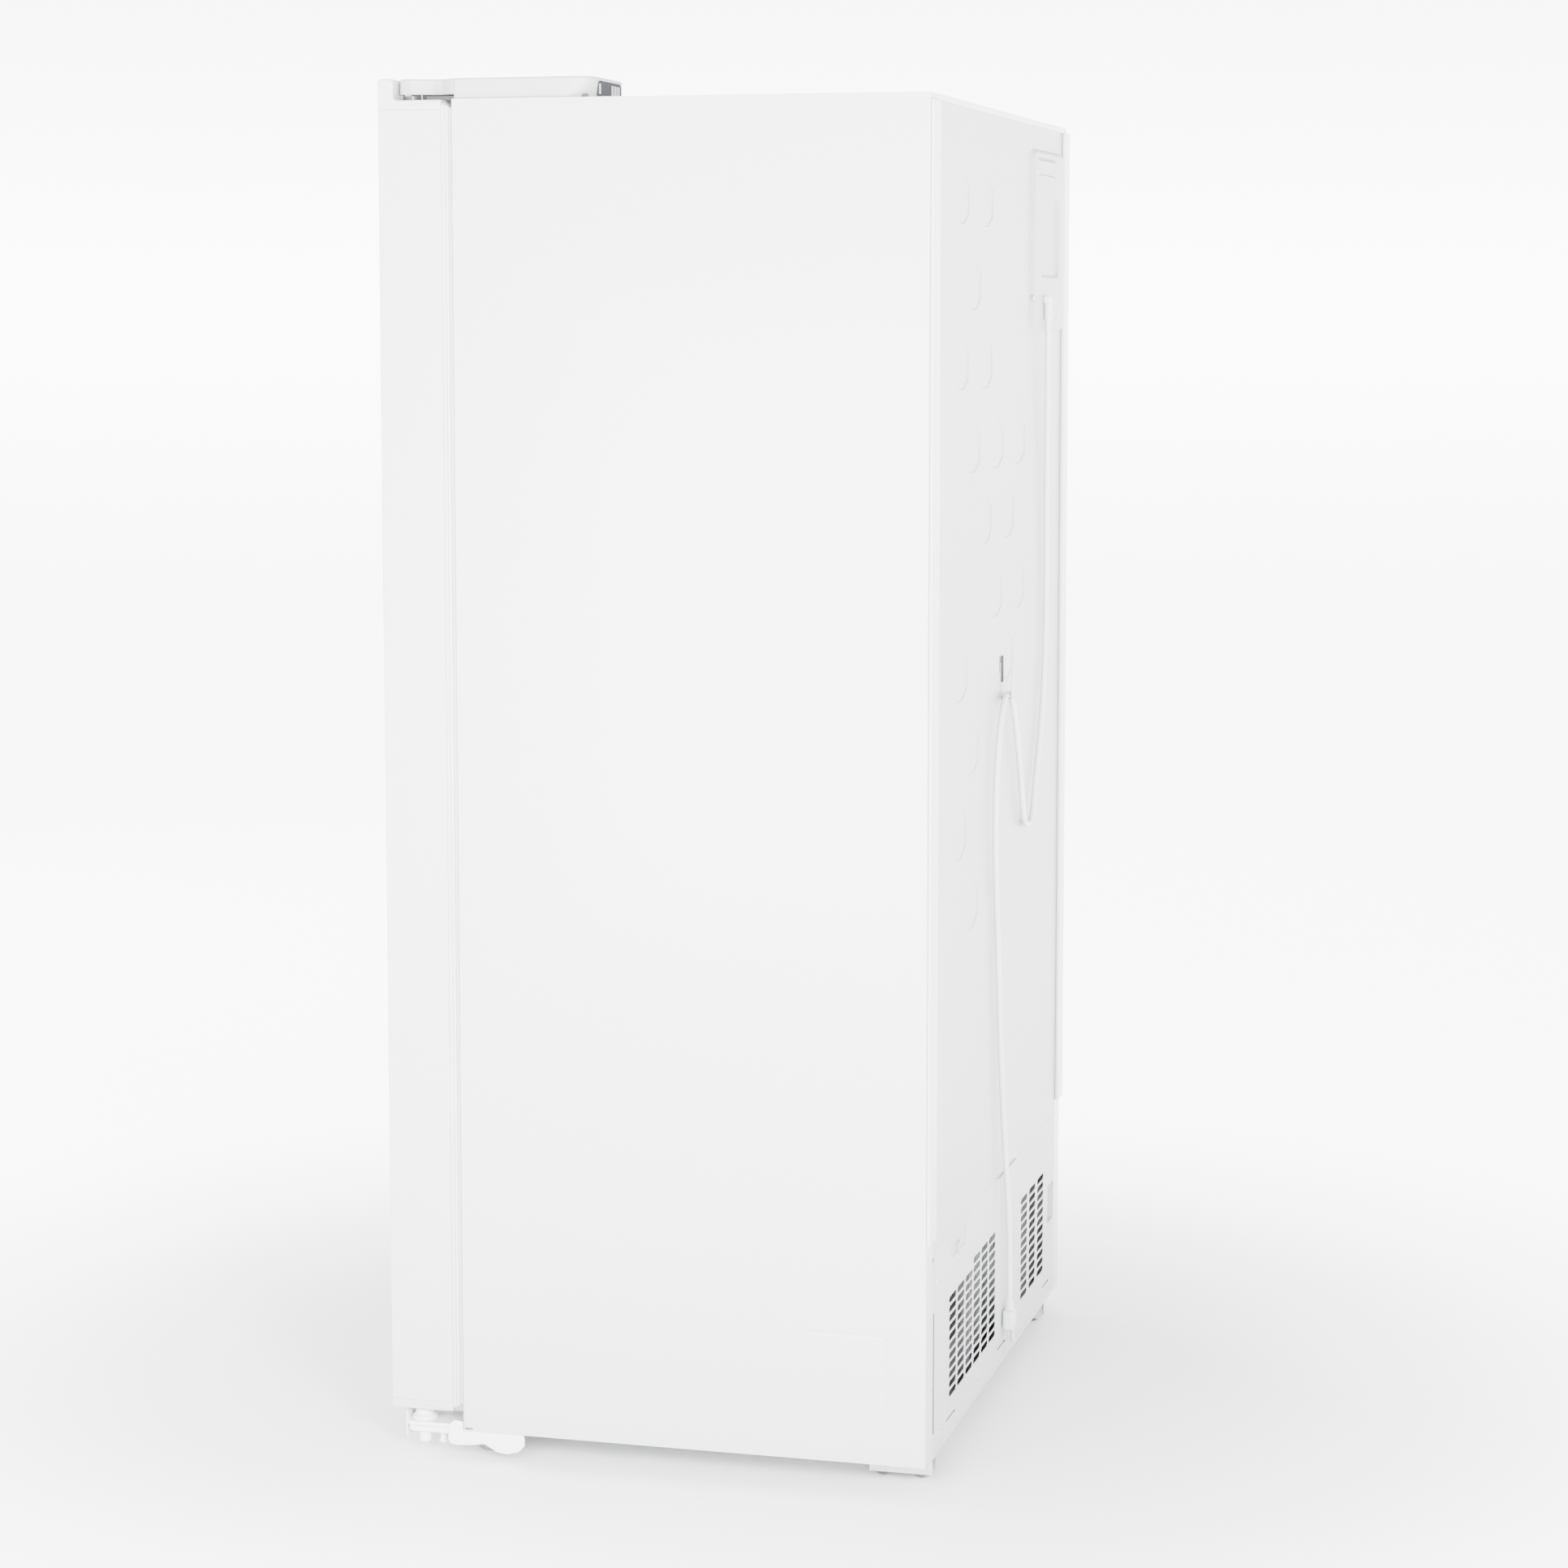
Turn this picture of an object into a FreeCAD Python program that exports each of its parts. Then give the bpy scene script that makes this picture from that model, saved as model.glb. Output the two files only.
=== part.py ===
import FreeCAD, Part
import math
import operator
import os
from types import SimpleNamespace

import Sketcher
from FreeCAD import Placement, Rotation, Vector

# Side by side refrigerator, in millimetres.  The origin is on the floor under the middle of
# the body: +X is to the right seen from the front, -Y is the door side and +Z is up.

SIZES = {
    # steel case
    "case_width": 912,
    "case_front": 260,
    "case_rear": 352,
    "case_bottom": 38,
    "case_top": 1744,
    "sheet": 0.8,
    "front_flange": 20,
    "rear_flange": 37.5,
    "hem_proud": 5.2,
    "hem_rise": 4,
    "hem_drop": 8,
    "base_gauge": 1.5,
    "base_lip": 34,
    # insulated walls and the two compartments
    "liner": 2,
    "side_wall": 48,
    "back_wall": 70,
    "top_wall": 60,
    "floor_wall": 62,
    "partition_centre": -60,
    "partition_width": 64,
    "bay_depth": 202,
    "bay_height": 280,
    "bay_wall": 54,
    "shelf_gauge": 4,
    "shelf_front": 150,
    "shelf_play": 2,
    "shelf_first_rise": 267,
    "shelf_top_space": 264,
    # doors
    "door_depth": 84,
    "seal_gap": 14,
    "seal_play": 0.3,
    "seal_width": 20,
    "door_lift": 24,
    "door_drop": 0.5,
    "door_split": 8,
    "cap_height": 12.5,
    "lip_rise": 26,
    "lip_depth": 21,
    "bin_lift": 68,
    "bin_drop": 563.5,
    "bin_depth": 80,
    "bin_height": 95,
    "bin_wall": 2.5,
    "rib_width": 14,
    "rib_inset": 64,
    "handle_low": 620,
    "handle_high": 1320,
    "handle_mouth": 18,
    "handle_width": 32,
    "handle_depth": 40,
    "handle_wall": 2,
    # hinges
    "pin_inset": 25,
    "pin_setback": 61,
    "pin_radius": 5,
    "pin_play": 0.08,
    "pin_depth": 10,
    "hinge_gauge": 5,
    "lobe_radius": 14,
    "neck_width": 27,
    "cover_width": 130,
    "cover_length": 184,
    "cover_lift": 7,
    "cover_rise": 26,
    "cover_wall": 2.5,
    # drawers
    "drawer_front": 135,
    "drawer_wall": 3,
    "drawer_play": 4,
    "drawer_top_play": 13,
    # feet
    "leg_inset": 60,
    "leg_setback": 20,
    "leg_radius": 5,
    "leg_foot": 18,
    "foot_height": 10,
    "thread_play": 0.05,
    "roller_inset": 83,
    "roller_radius": 12,
    "roller_width": 14,
    "roller_setback": 72,
    "roller_pitch": 50,
    "axle_radius": 3,
    "axle_play": 0.05,
    # covers at the back
    "cover_overlap": 7,
    "cover_gap": 4,
    "panel_drop": 22,
    "slot_height": 9,
    "slot_pitch": 12.4,
    "slot_lift": 49.5,
    "slot_rows": 12,
    "box_inset": 42,
    "box_width": 228,
    "box_drop": 38,
    "box_height": 255,
    "box_raise": 6,
    "box_wall": 1.2,
    "side_screw_inset": 56,
    "side_screw_drop": 41,
    # machinery
    "compressor_x": 250,
    "compressor_radius": 72,
    "fan_x": 100,
    "fan_lift": 102,
    "fan_tip": 68,
    "fan_play": 5,
    "cold_fan_tip": 55,
    "coil_space": 92,
    "coil_rise": 78,
    "coil_height": 290,
    "fan_over_coil": 260,
    "vent_drop": 80,
    "vent_roof_drop": 164,
    # power cord
    "cord_diameter": 8,
}

# The cord's route from its gland to the plug: x, y, z of each point, chosen by hand.
CORD_ROUTE = [
    (-263.0, 363.5, 1469.0),
    (-266.0, 363.0, 1412.0),
    (-271.0, 362.0, 1353.0),
    (-277.0, 360.5, 1293.0),
    (-282.5, 359.5, 1232.0),
    (-287.0, 359.0, 1171.0),
    (-288.5, 359.0, 1110.0),
    (-287.0, 359.0, 1049.0),
    (-281.0, 359.0, 989.0),
    (-268.0, 359.0, 931.0),
    (-244.0, 359.2, 877.0),
    (-214.0, 359.6, 826.0),
    (-190.0, 360.0, 771.0),
    (-131.0, 360.4, 769.0),
    (-108.0, 360.6, 823.0),
    (-84.0, 360.8, 878.0),
    (-55.0, 361.0, 932.0),
    (-21.0, 361.4, 968.0),
    (17.0, 361.4, 968.0),
    (48.0, 361.0, 934.0),
    (65.0, 360.4, 878.0),
    (71.5, 359.8, 813.0),
    (66.0, 359.4, 748.0),
    (55.5, 359.0, 690.0),
    (44.0, 359.0, 632.0),
    (35.0, 359.0, 573.0),
    (26.5, 359.0, 513.0),
    (16.5, 359.4, 453.0),
    (6.5, 360.2, 395.0),
    (-3.0, 361.6, 337.0),
    (-13.0, 363.2, 281.0),
    (-20.5, 364.2, 228.0),
    (-24.0, 364.6, 176.0),
    (-25.0, 364.6, 127.0),
]
CORD_BEND_SHARE = 0.45

VENT_COLUMNS = [(16 + 51 * column, 46) for column in range(6)]
VENT_COLUMNS += [(-336 + 62 * column, 50) for column in range(3)]
SHELF_COUNT = 4
BIN_COUNT = 4
# Screw places: inward from the box's right edge and up from its bottom edge, then across from
# the middle of the case and up from its bottom.
BOX_SCREWS = ((34, 223), (153, 223), (4.5, 49), (165, 28))
BAY_SCREWS = ((232, 24), (132, 24), (-316, 24))
SCREW_RADIUS = 4

doc = FreeCAD.newDocument("refrigerator")
nodes = {}


# ---------------------------------------------------------------- sizes and expressions

class Size:
    """A number together with the sheet expression that gives it."""

    def __init__(self, value, text):
        self.value = value
        self.text = text

    def __add__(self, other):
        return combine(self, "+", other)

    def __radd__(self, other):
        return combine(other, "+", self)

    def __sub__(self, other):
        return combine(self, "-", other)

    def __rsub__(self, other):
        return combine(other, "-", self)

    def __mul__(self, other):
        return combine(self, "*", other)

    def __rmul__(self, other):
        return combine(other, "*", self)

    def __truediv__(self, other):
        return combine(self, "/", other)

    def __neg__(self):
        return combine(0, "-", self)


OPERATIONS = {"+": operator.add, "-": operator.sub, "*": operator.mul, "/": operator.truediv}


def as_size(item):
    """Give a plain number the same form as a sheet value."""
    return item if isinstance(item, Size) else Size(float(item), repr(float(item)))


def combine(left, sign, right):
    """Work out a value and write the matching expression."""
    left, right = as_size(left), as_size(right)
    value = OPERATIONS[sign](left.value, right.value)
    return Size(value, f"({left.text} {sign} {right.text})")


def bind(item, prop, size):
    """Tie one property of a document object to the sheet."""
    item.setExpression(prop, as_size(size).text)


def span(start, end):
    """Put two places in rising order."""
    return (start, end) if as_size(start).value <= as_size(end).value else (end, start)


def make_sheet(sizes):
    """Write the driving sizes into a spreadsheet and return them as named Sizes."""
    sheet = doc.addObject("Spreadsheet::Sheet", "sizes")
    for row, (alias, value) in enumerate(sizes.items(), start=1):
        sheet.set(f"A{row}", str(value))
        sheet.setAlias(f"A{row}", alias)
    doc.recompute()
    return SimpleNamespace(**{alias: Size(value, f"sizes.{alias}") for alias, value in sizes.items()})


# ---------------------------------------------------------------- solids

TURNS = {
    "x": Rotation(Vector(0, 1, 0), 90),
    "y": Rotation(Vector(1, 0, 0), -90),
    "z": Rotation(),
}
PLANES = {"xy": ("XY_Plane", False), "yz": ("YZ_Plane", False), "xz": ("XZ_Plane", True)}


def box(name, x, y, z):
    """A block between a low and a high value on each axis."""
    item = doc.addObject("Part::Box", name)
    for prop, (low, high) in zip(("Length", "Width", "Height"), (x, y, z)):
        bind(item, prop, as_size(high) - low)
    for axis, (low, _) in zip("xyz", (x, y, z)):
        bind(item, f"Placement.Base.{axis}", low)
    return item


def rod(name, axis, base, radius, length):
    """A round bar that starts at base and runs along one axis."""
    item = doc.addObject("Part::Cylinder", name)
    item.Placement = Placement(Vector(), TURNS[axis])
    bind(item, "Radius", radius)
    bind(item, "Height", length)
    for letter, value in zip("xyz", base):
        bind(item, f"Placement.Base.{letter}", value)
    return item


def cone(name, base, low_radius, high_radius, height):
    """A tapered round bar standing on its base."""
    item = doc.addObject("Part::Cone", name)
    bind(item, "Radius1", low_radius)
    bind(item, "Radius2", high_radius)
    bind(item, "Height", height)
    for letter, value in zip("xyz", base):
        bind(item, f"Placement.Base.{letter}", value)
    return item


def fuse(name, items):
    """Join solids into one."""
    item = doc.addObject("Part::MultiFuse", name)
    item.Shapes = items
    item.Refine = True
    return item


def cut(name, base, tools):
    """Take the tools away from the base."""
    item = doc.addObject("Part::Cut", name)
    item.Base = base
    item.Tool = tools[0] if len(tools) == 1 else fuse(name + "_tools", tools)
    item.Refine = True
    return item


def group(name, items):
    """Keep like pieces together as separate solids of one sub-part."""
    item = doc.addObject("Part::Compound", name)
    item.Links = items
    return item


def add_outline(sketch, points):
    """Draw a closed polygon and fix each corner to its two sheet values."""
    first = sketch.GeometryCount
    corners = [(as_size(u), as_size(v)) for u, v in points]
    places = [Vector(u.value, v.value, 0) for u, v in corners]
    count = len(places)
    for index in range(count):
        sketch.addGeometry(Part.LineSegment(places[index], places[(index + 1) % count]), False)
    for index in range(count):
        following = first + (index + 1) % count
        sketch.addConstraint(Sketcher.Constraint("Coincident", first + index, 2, following, 1))
    for index, corner in enumerate(corners):
        for kind, size in zip(("DistanceX", "DistanceY"), corner):
            constraint = Sketcher.Constraint(kind, -1, 1, first + index, 1, size.value)
            number = sketch.addConstraint(constraint)
            sketch.setExpression(f"Constraints[{number}]", size.text)


def add_circle(sketch, centre, radius):
    """Draw a circle fixed by its centre and radius."""
    u, v, radius = (as_size(item) for item in (*centre, radius))
    place = Vector(u.value, v.value, 0)
    circle = sketch.addGeometry(Part.Circle(place, Vector(0, 0, 1), radius.value), False)
    constraints = (
        (Sketcher.Constraint("DistanceX", -1, 1, circle, 3, u.value), u),
        (Sketcher.Constraint("DistanceY", -1, 1, circle, 3, v.value), v),
        (Sketcher.Constraint("Radius", circle, radius.value), radius),
    )
    for constraint, size in constraints:
        number = sketch.addConstraint(constraint)
        sketch.setExpression(f"Constraints[{number}]", size.text)


def add_sketch(body, plane, level, outlines=(), circles=()):
    """Start a sketch of the body on one of its origin planes, at a level along its axis."""
    role, reversed_normal = PLANES[plane]
    sketch = body.newObject("Sketcher::SketchObject", body.Name + "_sketch")
    support = next(item for item in body.Origin.OriginFeatures if item.Role == role)
    sketch.AttachmentSupport = (support, "")
    sketch.MapMode = "FlatFace"
    bind(sketch, "AttachmentOffset.Base.z", -as_size(level) if reversed_normal else level)
    for points in outlines:
        add_outline(sketch, points)
    for centre, radius in circles:
        add_circle(sketch, centre, radius)
    return sketch


def add_pad(body, plane, reach, outlines=(), circles=()):
    """Raise a sketch from the low to the high end of its reach."""
    low, high = reach
    pad = body.newObject("PartDesign::Pad", body.Name + "_pad")
    pad.Profile = add_sketch(body, plane, low, outlines, circles)
    pad.Reversed = PLANES[plane][1]
    bind(pad, "Length", as_size(high) - low)
    return pad


def add_pocket(body, plane, reach, outlines=(), circles=()):
    """Cut a sketch away from the low to the high end of its reach."""
    low, high = reach
    pocket = body.newObject("PartDesign::Pocket", body.Name + "_pocket")
    pocket.Profile = add_sketch(body, plane, low, outlines, circles)
    pocket.Reversed = not PLANES[plane][1]
    bind(pocket, "Length", as_size(high) - low)
    return pocket


def prism(name, plane, reach, outlines=(), circles=()):
    """A body whose first feature is one raised sketch."""
    body = doc.addObject("PartDesign::Body", name)
    add_pad(body, plane, reach, outlines, circles)
    return body


def rectangle(u, v):
    """The four corners of an upright rectangle."""
    return [(u[0], v[0]), (u[1], v[0]), (u[1], v[1]), (u[0], v[1])]


def spread(first, last, count):
    """Even places from the first to the last."""
    pitch = (last - first) / (count - 1)
    return [first + pitch * number for number in range(count)]


def tray(name, x, y, z, wall):
    """An open-topped box with an even wall."""
    body = prism(name, "xy", z, [rectangle(x, y)])
    inner_x = (x[0] + wall, x[1] - wall)
    inner_y = (y[0] + wall, y[1] - wall)
    add_pocket(body, "xy", (z[0] + wall, z[1] + wall), [rectangle(inner_x, inner_y)])
    return body


# ---------------------------------------------------------------- shared places

def make_layout(s):
    """Work out the planes that several pieces share."""
    half = s.case_width / 2
    front = -s.case_front
    top = s.case_top
    bay_y = s.case_rear - s.bay_depth
    bay_z = s.case_bottom + s.bay_height
    split = s.partition_centre
    return SimpleNamespace(
        half=half,
        front=front,
        frame_y=(front, front + s.sheet),
        inside_y=(front + s.sheet, s.case_rear - s.sheet),
        bay_y=bay_y,
        bay_z=bay_z,
        step_y=bay_y - s.bay_wall,
        step_z=bay_z + s.bay_wall,
        shelf_z=bay_z + s.bay_wall + 1,
        floor_z=s.case_bottom + s.floor_wall,
        roof_z=s.case_top - s.top_wall,
        back_y=s.case_rear - s.back_wall,
        freezer_x=(s.side_wall - half, split - s.partition_width / 2),
        fridge_x=(split + s.partition_width / 2, half - s.side_wall),
        door_back=front - s.seal_gap,
        door_front=front - s.seal_gap - s.door_depth,
        pin_x=half - s.pin_inset,
        pin_y=front - s.pin_setback,
        base_top=s.case_bottom + s.base_gauge,
        hem_bottom=bay_z + s.hem_rise,
        hem_top=top - s.hem_drop,
        door_bottom=s.case_bottom + s.door_lift,
        door_top=top - s.door_drop,
        lip_top=top + s.lip_rise,
        cover_top=top + s.cover_rise,
        leg_x=half - s.leg_inset,
        leg_y=front + s.leg_setback,
        roller_x=half - s.roller_inset,
        roller_y=s.case_rear - s.roller_setback,
        machine_y=bay_y + s.bay_depth / 2 - 1,
        fan_z=s.case_bottom + s.fan_lift,
        box_x=(s.box_inset - half, s.box_inset - half + s.box_width),
        box_z=(top - s.box_drop - s.box_height, top - s.box_drop),
        flange_y=(s.case_rear, s.case_rear + s.sheet),
        bay_cover_z=(s.case_bottom + s.cover_gap, bay_z - s.panel_drop + s.cover_overlap),
    )


# ---------------------------------------------------------------- cabinet

def make_side_panel(s, at, name, side):
    """Folded side sheet: front flange, side wall, rear flange and its raised rear seam."""
    outer, inner = side * at.half, side * (at.half - s.sheet)
    front_edge = side * (at.half - s.front_flange)
    rear_edge = side * (at.half - s.rear_flange)
    rear = s.case_rear
    outline = [
        (outer, at.front), (outer, rear + s.sheet), (rear_edge, rear + s.sheet), (rear_edge, rear),
        (inner, rear), (inner, at.front + s.sheet), (front_edge, at.front + s.sheet),
        (front_edge, at.front),
    ]
    body = prism(name, "xy", (s.case_bottom, s.case_top), [outline])
    seam = rectangle(span(outer, rear_edge), (rear + s.sheet, rear + s.sheet + s.hem_proud))
    add_pad(body, "xy", (at.hem_bottom, at.hem_top), [seam])
    nodes[name] = body


def make_top_panel(s, at):
    """Roof sheet with a short fold down at the front and at the rear."""
    inner = at.half - s.sheet
    roof = box("roof", (-inner, inner), (at.frame_y[1], at.flange_y[1]), (s.case_top - s.sheet, s.case_top))
    front_x = at.half - s.front_flange
    rear_x = at.half - s.rear_flange
    front_fold = box("roof_front_fold", (-front_x, front_x), at.frame_y,
                     (s.case_top - s.front_flange, s.case_top))
    rear_fold = box("roof_rear_fold", (-rear_x, rear_x), at.flange_y, (at.hem_top, s.case_top))
    gaps = [
        box(f"roof_corner_{index}", span(side * rear_x, side * at.half), at.flange_y,
            (at.hem_top, s.case_top + s.sheet))
        for index, side in enumerate((-1, 1))
    ]
    whole = fuse("roof_folded", [roof, front_fold, rear_fold])
    nodes["top_panel"] = cut("top_panel", whole, gaps)


def make_front_frame(s, at):
    """Front face of the case, with one opening for each compartment."""
    edge = at.half - s.front_flange
    outline = rectangle((-edge, edge), (s.case_bottom, s.case_top - s.front_flange))
    openings = [rectangle(x, (at.floor_z, at.roof_z)) for x in (at.freezer_x, at.fridge_x)]
    nodes["front_frame"] = prism("front_frame", "xz", at.frame_y, [outline, *openings])


def make_base(s, at):
    """Base plate with its rear upstand, and the folded sheet over the machine bay."""
    inner = at.half - s.sheet
    floor = box("base_floor", (-inner, inner), at.inside_y, (s.case_bottom, at.base_top))
    upstand_y = (at.inside_y[1], s.case_rear)
    upstand = box("base_upstand", (-inner, inner), upstand_y, (s.base_lip, s.case_bottom + s.front_flange))
    nodes["base_plate"] = fuse("base_plate", [floor, upstand])
    bay = [
        (at.bay_y, at.base_top), (at.bay_y + s.sheet, at.base_top),
        (at.bay_y + s.sheet, at.bay_z - s.sheet), (at.inside_y[1], at.bay_z - s.sheet),
        (at.inside_y[1], at.bay_z), (at.bay_y, at.bay_z),
    ]
    nodes["machine_bay_wall"] = prism("machine_bay_wall", "yz", (-inner, inner), [bay])


def make_insulation(s, at):
    """Foam between the case and the liners, as slabs that meet face to face."""
    inner = at.half - s.sheet
    case_top = s.case_top - s.sheet
    freezer = (at.freezer_x[0] - s.liner, at.freezer_x[1] + s.liner)
    fridge = (at.fridge_x[0] - s.liner, at.fridge_x[1] + s.liner)
    columns = [(-inner, freezer[0]), (freezer[1], fridge[0]), (fridge[1], inner)]
    slabs = []
    for x in columns:
        slabs.append((x, (at.inside_y[0], at.bay_y), (at.base_top, at.bay_z)))
        slabs.append((x, at.inside_y, (at.bay_z, case_top)))
    step_y, step_z = at.step_y + s.liner, at.step_z - s.liner
    back_y, roof_z = at.back_y + s.liner, at.roof_z + s.liner
    for x in (freezer, fridge):
        slabs.append((x, at.inside_y, (roof_z, case_top)))
        slabs.append((x, (back_y, at.inside_y[1]), (at.bay_z, roof_z)))
        slabs.append((x, (step_y, back_y), (at.bay_z, step_z)))
        slabs.append((x, (step_y, at.bay_y), (at.base_top, at.bay_z)))
        slabs.append((x, (at.inside_y[0], step_y), (at.base_top, at.floor_z - s.liner)))
    blocks = [box(f"foam_{number}", *slab) for number, slab in enumerate(slabs)]
    nodes["cabinet_insulation"] = group("cabinet_insulation", blocks)


def make_liner(s, at, name, x):
    """Formed plastic lining of one compartment, stepped over the machine bay."""

    def profile(grow, front):
        return [
            (front, at.floor_z - grow), (at.step_y + grow, at.floor_z - grow),
            (at.step_y + grow, at.step_z - grow), (at.back_y + grow, at.step_z - grow),
            (at.back_y + grow, at.roof_z + grow), (front, at.roof_z + grow),
        ]

    body = prism(name, "yz", (x[0] - s.liner, x[1] + s.liner), [profile(s.liner, at.frame_y[1])])
    add_pocket(body, "yz", x, [profile(as_size(0), at.front)])
    nodes[name] = body


def make_rear_sheets(s, at):
    """Rear panel, and the vented cover of the machine bay."""
    inner = at.half - s.sheet
    edge = at.half - s.rear_flange
    nodes["rear_panel"] = box("rear_panel", (-inner, inner), (at.inside_y[1], s.case_rear),
                              (at.bay_z - s.panel_drop, s.case_top - s.sheet))
    sheet = rectangle((-edge, edge), at.bay_cover_z)
    body = prism("machine_cover", "xz", at.flange_y, [sheet])
    row_low = s.case_bottom + s.slot_lift
    row = (row_low, row_low + s.slot_height)
    slots = [rectangle((start, start + length), row) for start, length in VENT_COLUMNS]
    vents = add_pocket(body, "xz", at.flange_y, slots)
    rows = body.newObject("PartDesign::LinearPattern", "machine_cover_rows")
    rows.Originals = [vents]
    rows.Direction = (vents.Profile[0], ["V_Axis"])
    bind(rows, "Length", s.slot_pitch * (s.slot_rows - 1))
    bind(rows, "Occurrences", s.slot_rows)
    body.Tip = rows
    nodes["machine_cover"] = body


def make_control_box(s, at):
    """Raised cover over the control board, the board, and the screws that hold the covers."""
    rear = s.case_rear
    x, z = at.box_x, at.box_z
    face = rear + s.box_raise
    shell = prism("control_shell", "xz", (rear, face), [rectangle(x, z)])
    wall = s.box_wall
    hollow = rectangle((x[0] + wall, x[1] - wall), (z[0] + wall, z[1] - wall))
    add_pocket(shell, "xz", (rear, face - wall), [hollow])
    places = [(x[1] - across, z[0] + up) for across, up in BOX_SCREWS]
    seats = [
        rod(f"screw_seat_{number}", "y", (place[0], face - wall / 2, place[1]), SCREW_RADIUS, wall)
        for number, place in enumerate(places)
    ]
    nodes["control_box_cover"] = cut("control_box_cover", shell, seats)
    margin = 14
    board = box("board", (x[0] + margin, x[1] - margin), (rear, rear + 1.6), (z[0] + margin, z[1] - margin))
    parts = [
        box(f"component_{number}", (x[0] + left, x[0] + left + 40), (rear + 1.6, face - wall - 0.6),
            (z[0] + low, z[0] + low + 50))
        for number, (left, low) in enumerate(((30, 40), (100, 40), (150, 130), (40, 150)))
    ]
    nodes["control_board"] = fuse("control_board", [board, *parts])
    heads = [
        rod(f"box_screw_{number}", "y", (place[0], face - wall / 2, place[1]), SCREW_RADIUS, wall / 2)
        for number, place in enumerate(places)
    ]
    bay_places = [(across, s.case_bottom + up) for across, up in BAY_SCREWS]
    side_z = at.bay_cover_z[1] - s.side_screw_drop
    bay_places += [(side * (at.half - s.side_screw_inset), side_z) for side in (1, -1)]
    heads += [
        rod(f"bay_screw_{number}", "y", (place[0], at.flange_y[1], place[1]), SCREW_RADIUS, 2)
        for number, place in enumerate(bay_places)
    ]
    nodes["cover_screws"] = group("cover_screws", heads)


def make_toe_kick(s, at):
    """Moulded cover across the front feet: a front strip and a cheek at each end."""
    strip_y = (at.front - 21, at.front - 18)
    low, high = 14, s.case_bottom - s.hinge_gauge - 4
    reach = at.half - 12
    middle_x = at.leg_x - s.leg_foot - 8
    strip = box("kick_strip", (-reach, reach), strip_y, (low, high))
    middle = box("kick_middle", (-middle_x, middle_x), strip_y, (high, at.door_bottom - 10))
    cheeks = [
        box(f"kick_cheek_{index}", span(side * (reach - 3), side * reach), (strip_y[1], at.front + 83),
            (low, high))
        for index, side in enumerate((-1, 1))
    ]
    nodes["toe_kick"] = fuse("toe_kick", [strip, middle, *cheeks])


# ---------------------------------------------------------------- feet

def make_feet(s, at):
    """Two levelling legs at the front; four rollers on riveted axles in two brackets at the rear."""
    plate_top = s.case_bottom
    for name, side in (("left", -1), ("right", 1)):
        centre = (side * at.leg_x, at.leg_y)
        foot = rod(f"leg_foot_{name}", "z", (*centre, 0), s.leg_foot, s.foot_height)
        thread = rod(f"leg_thread_{name}", "z", (*centre, s.foot_height), s.leg_radius,
                     plate_top - s.foot_height - 0.5)
        nodes[f"levelling_leg_{name}"] = fuse(f"levelling_leg_{name}", [foot, thread])

    brackets = []
    ear = 2
    half_gap = s.roller_width / 2 + 2
    rear_y = at.roller_y + s.roller_pitch
    for name, side in (("left", -1), ("right", 1)):
        x = side * at.roller_x
        reach_y = (at.roller_y - 16, rear_y + 16)
        cheeks = [
            box(f"roller_ear_{name}_{index}", span(x + hand * half_gap, x + hand * (half_gap + ear)),
                reach_y, (s.roller_radius / 2, plate_top))
            for index, hand in enumerate((-1, 1))
        ]
        bridge = box(f"roller_bridge_{name}", (x - half_gap, x + half_gap), reach_y,
                     (plate_top - ear, plate_top))
        axles = []
        for place, y in (("front", at.roller_y), ("rear", rear_y)):
            start = (x - half_gap - ear - 1, y, s.roller_radius)
            length = (half_gap + ear + 1) * 2
            axles.append(rod(f"axle_{name}_{place}", "x", start, s.axle_radius, length))
            roller = prism(f"rear_roller_{name}_{place}", "yz",
                           (x - s.roller_width / 2, x + s.roller_width / 2),
                           circles=[((y, s.roller_radius), s.roller_radius),
                                    ((y, s.roller_radius), s.axle_radius + s.axle_play)])
            nodes[f"rear_roller_{name}_{place}"] = roller
        brackets.append(fuse(f"roller_bracket_{name}", [*cheeks, bridge, *axles]))
    nodes["roller_brackets"] = group("roller_brackets", brackets)


# ---------------------------------------------------------------- hinges

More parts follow.
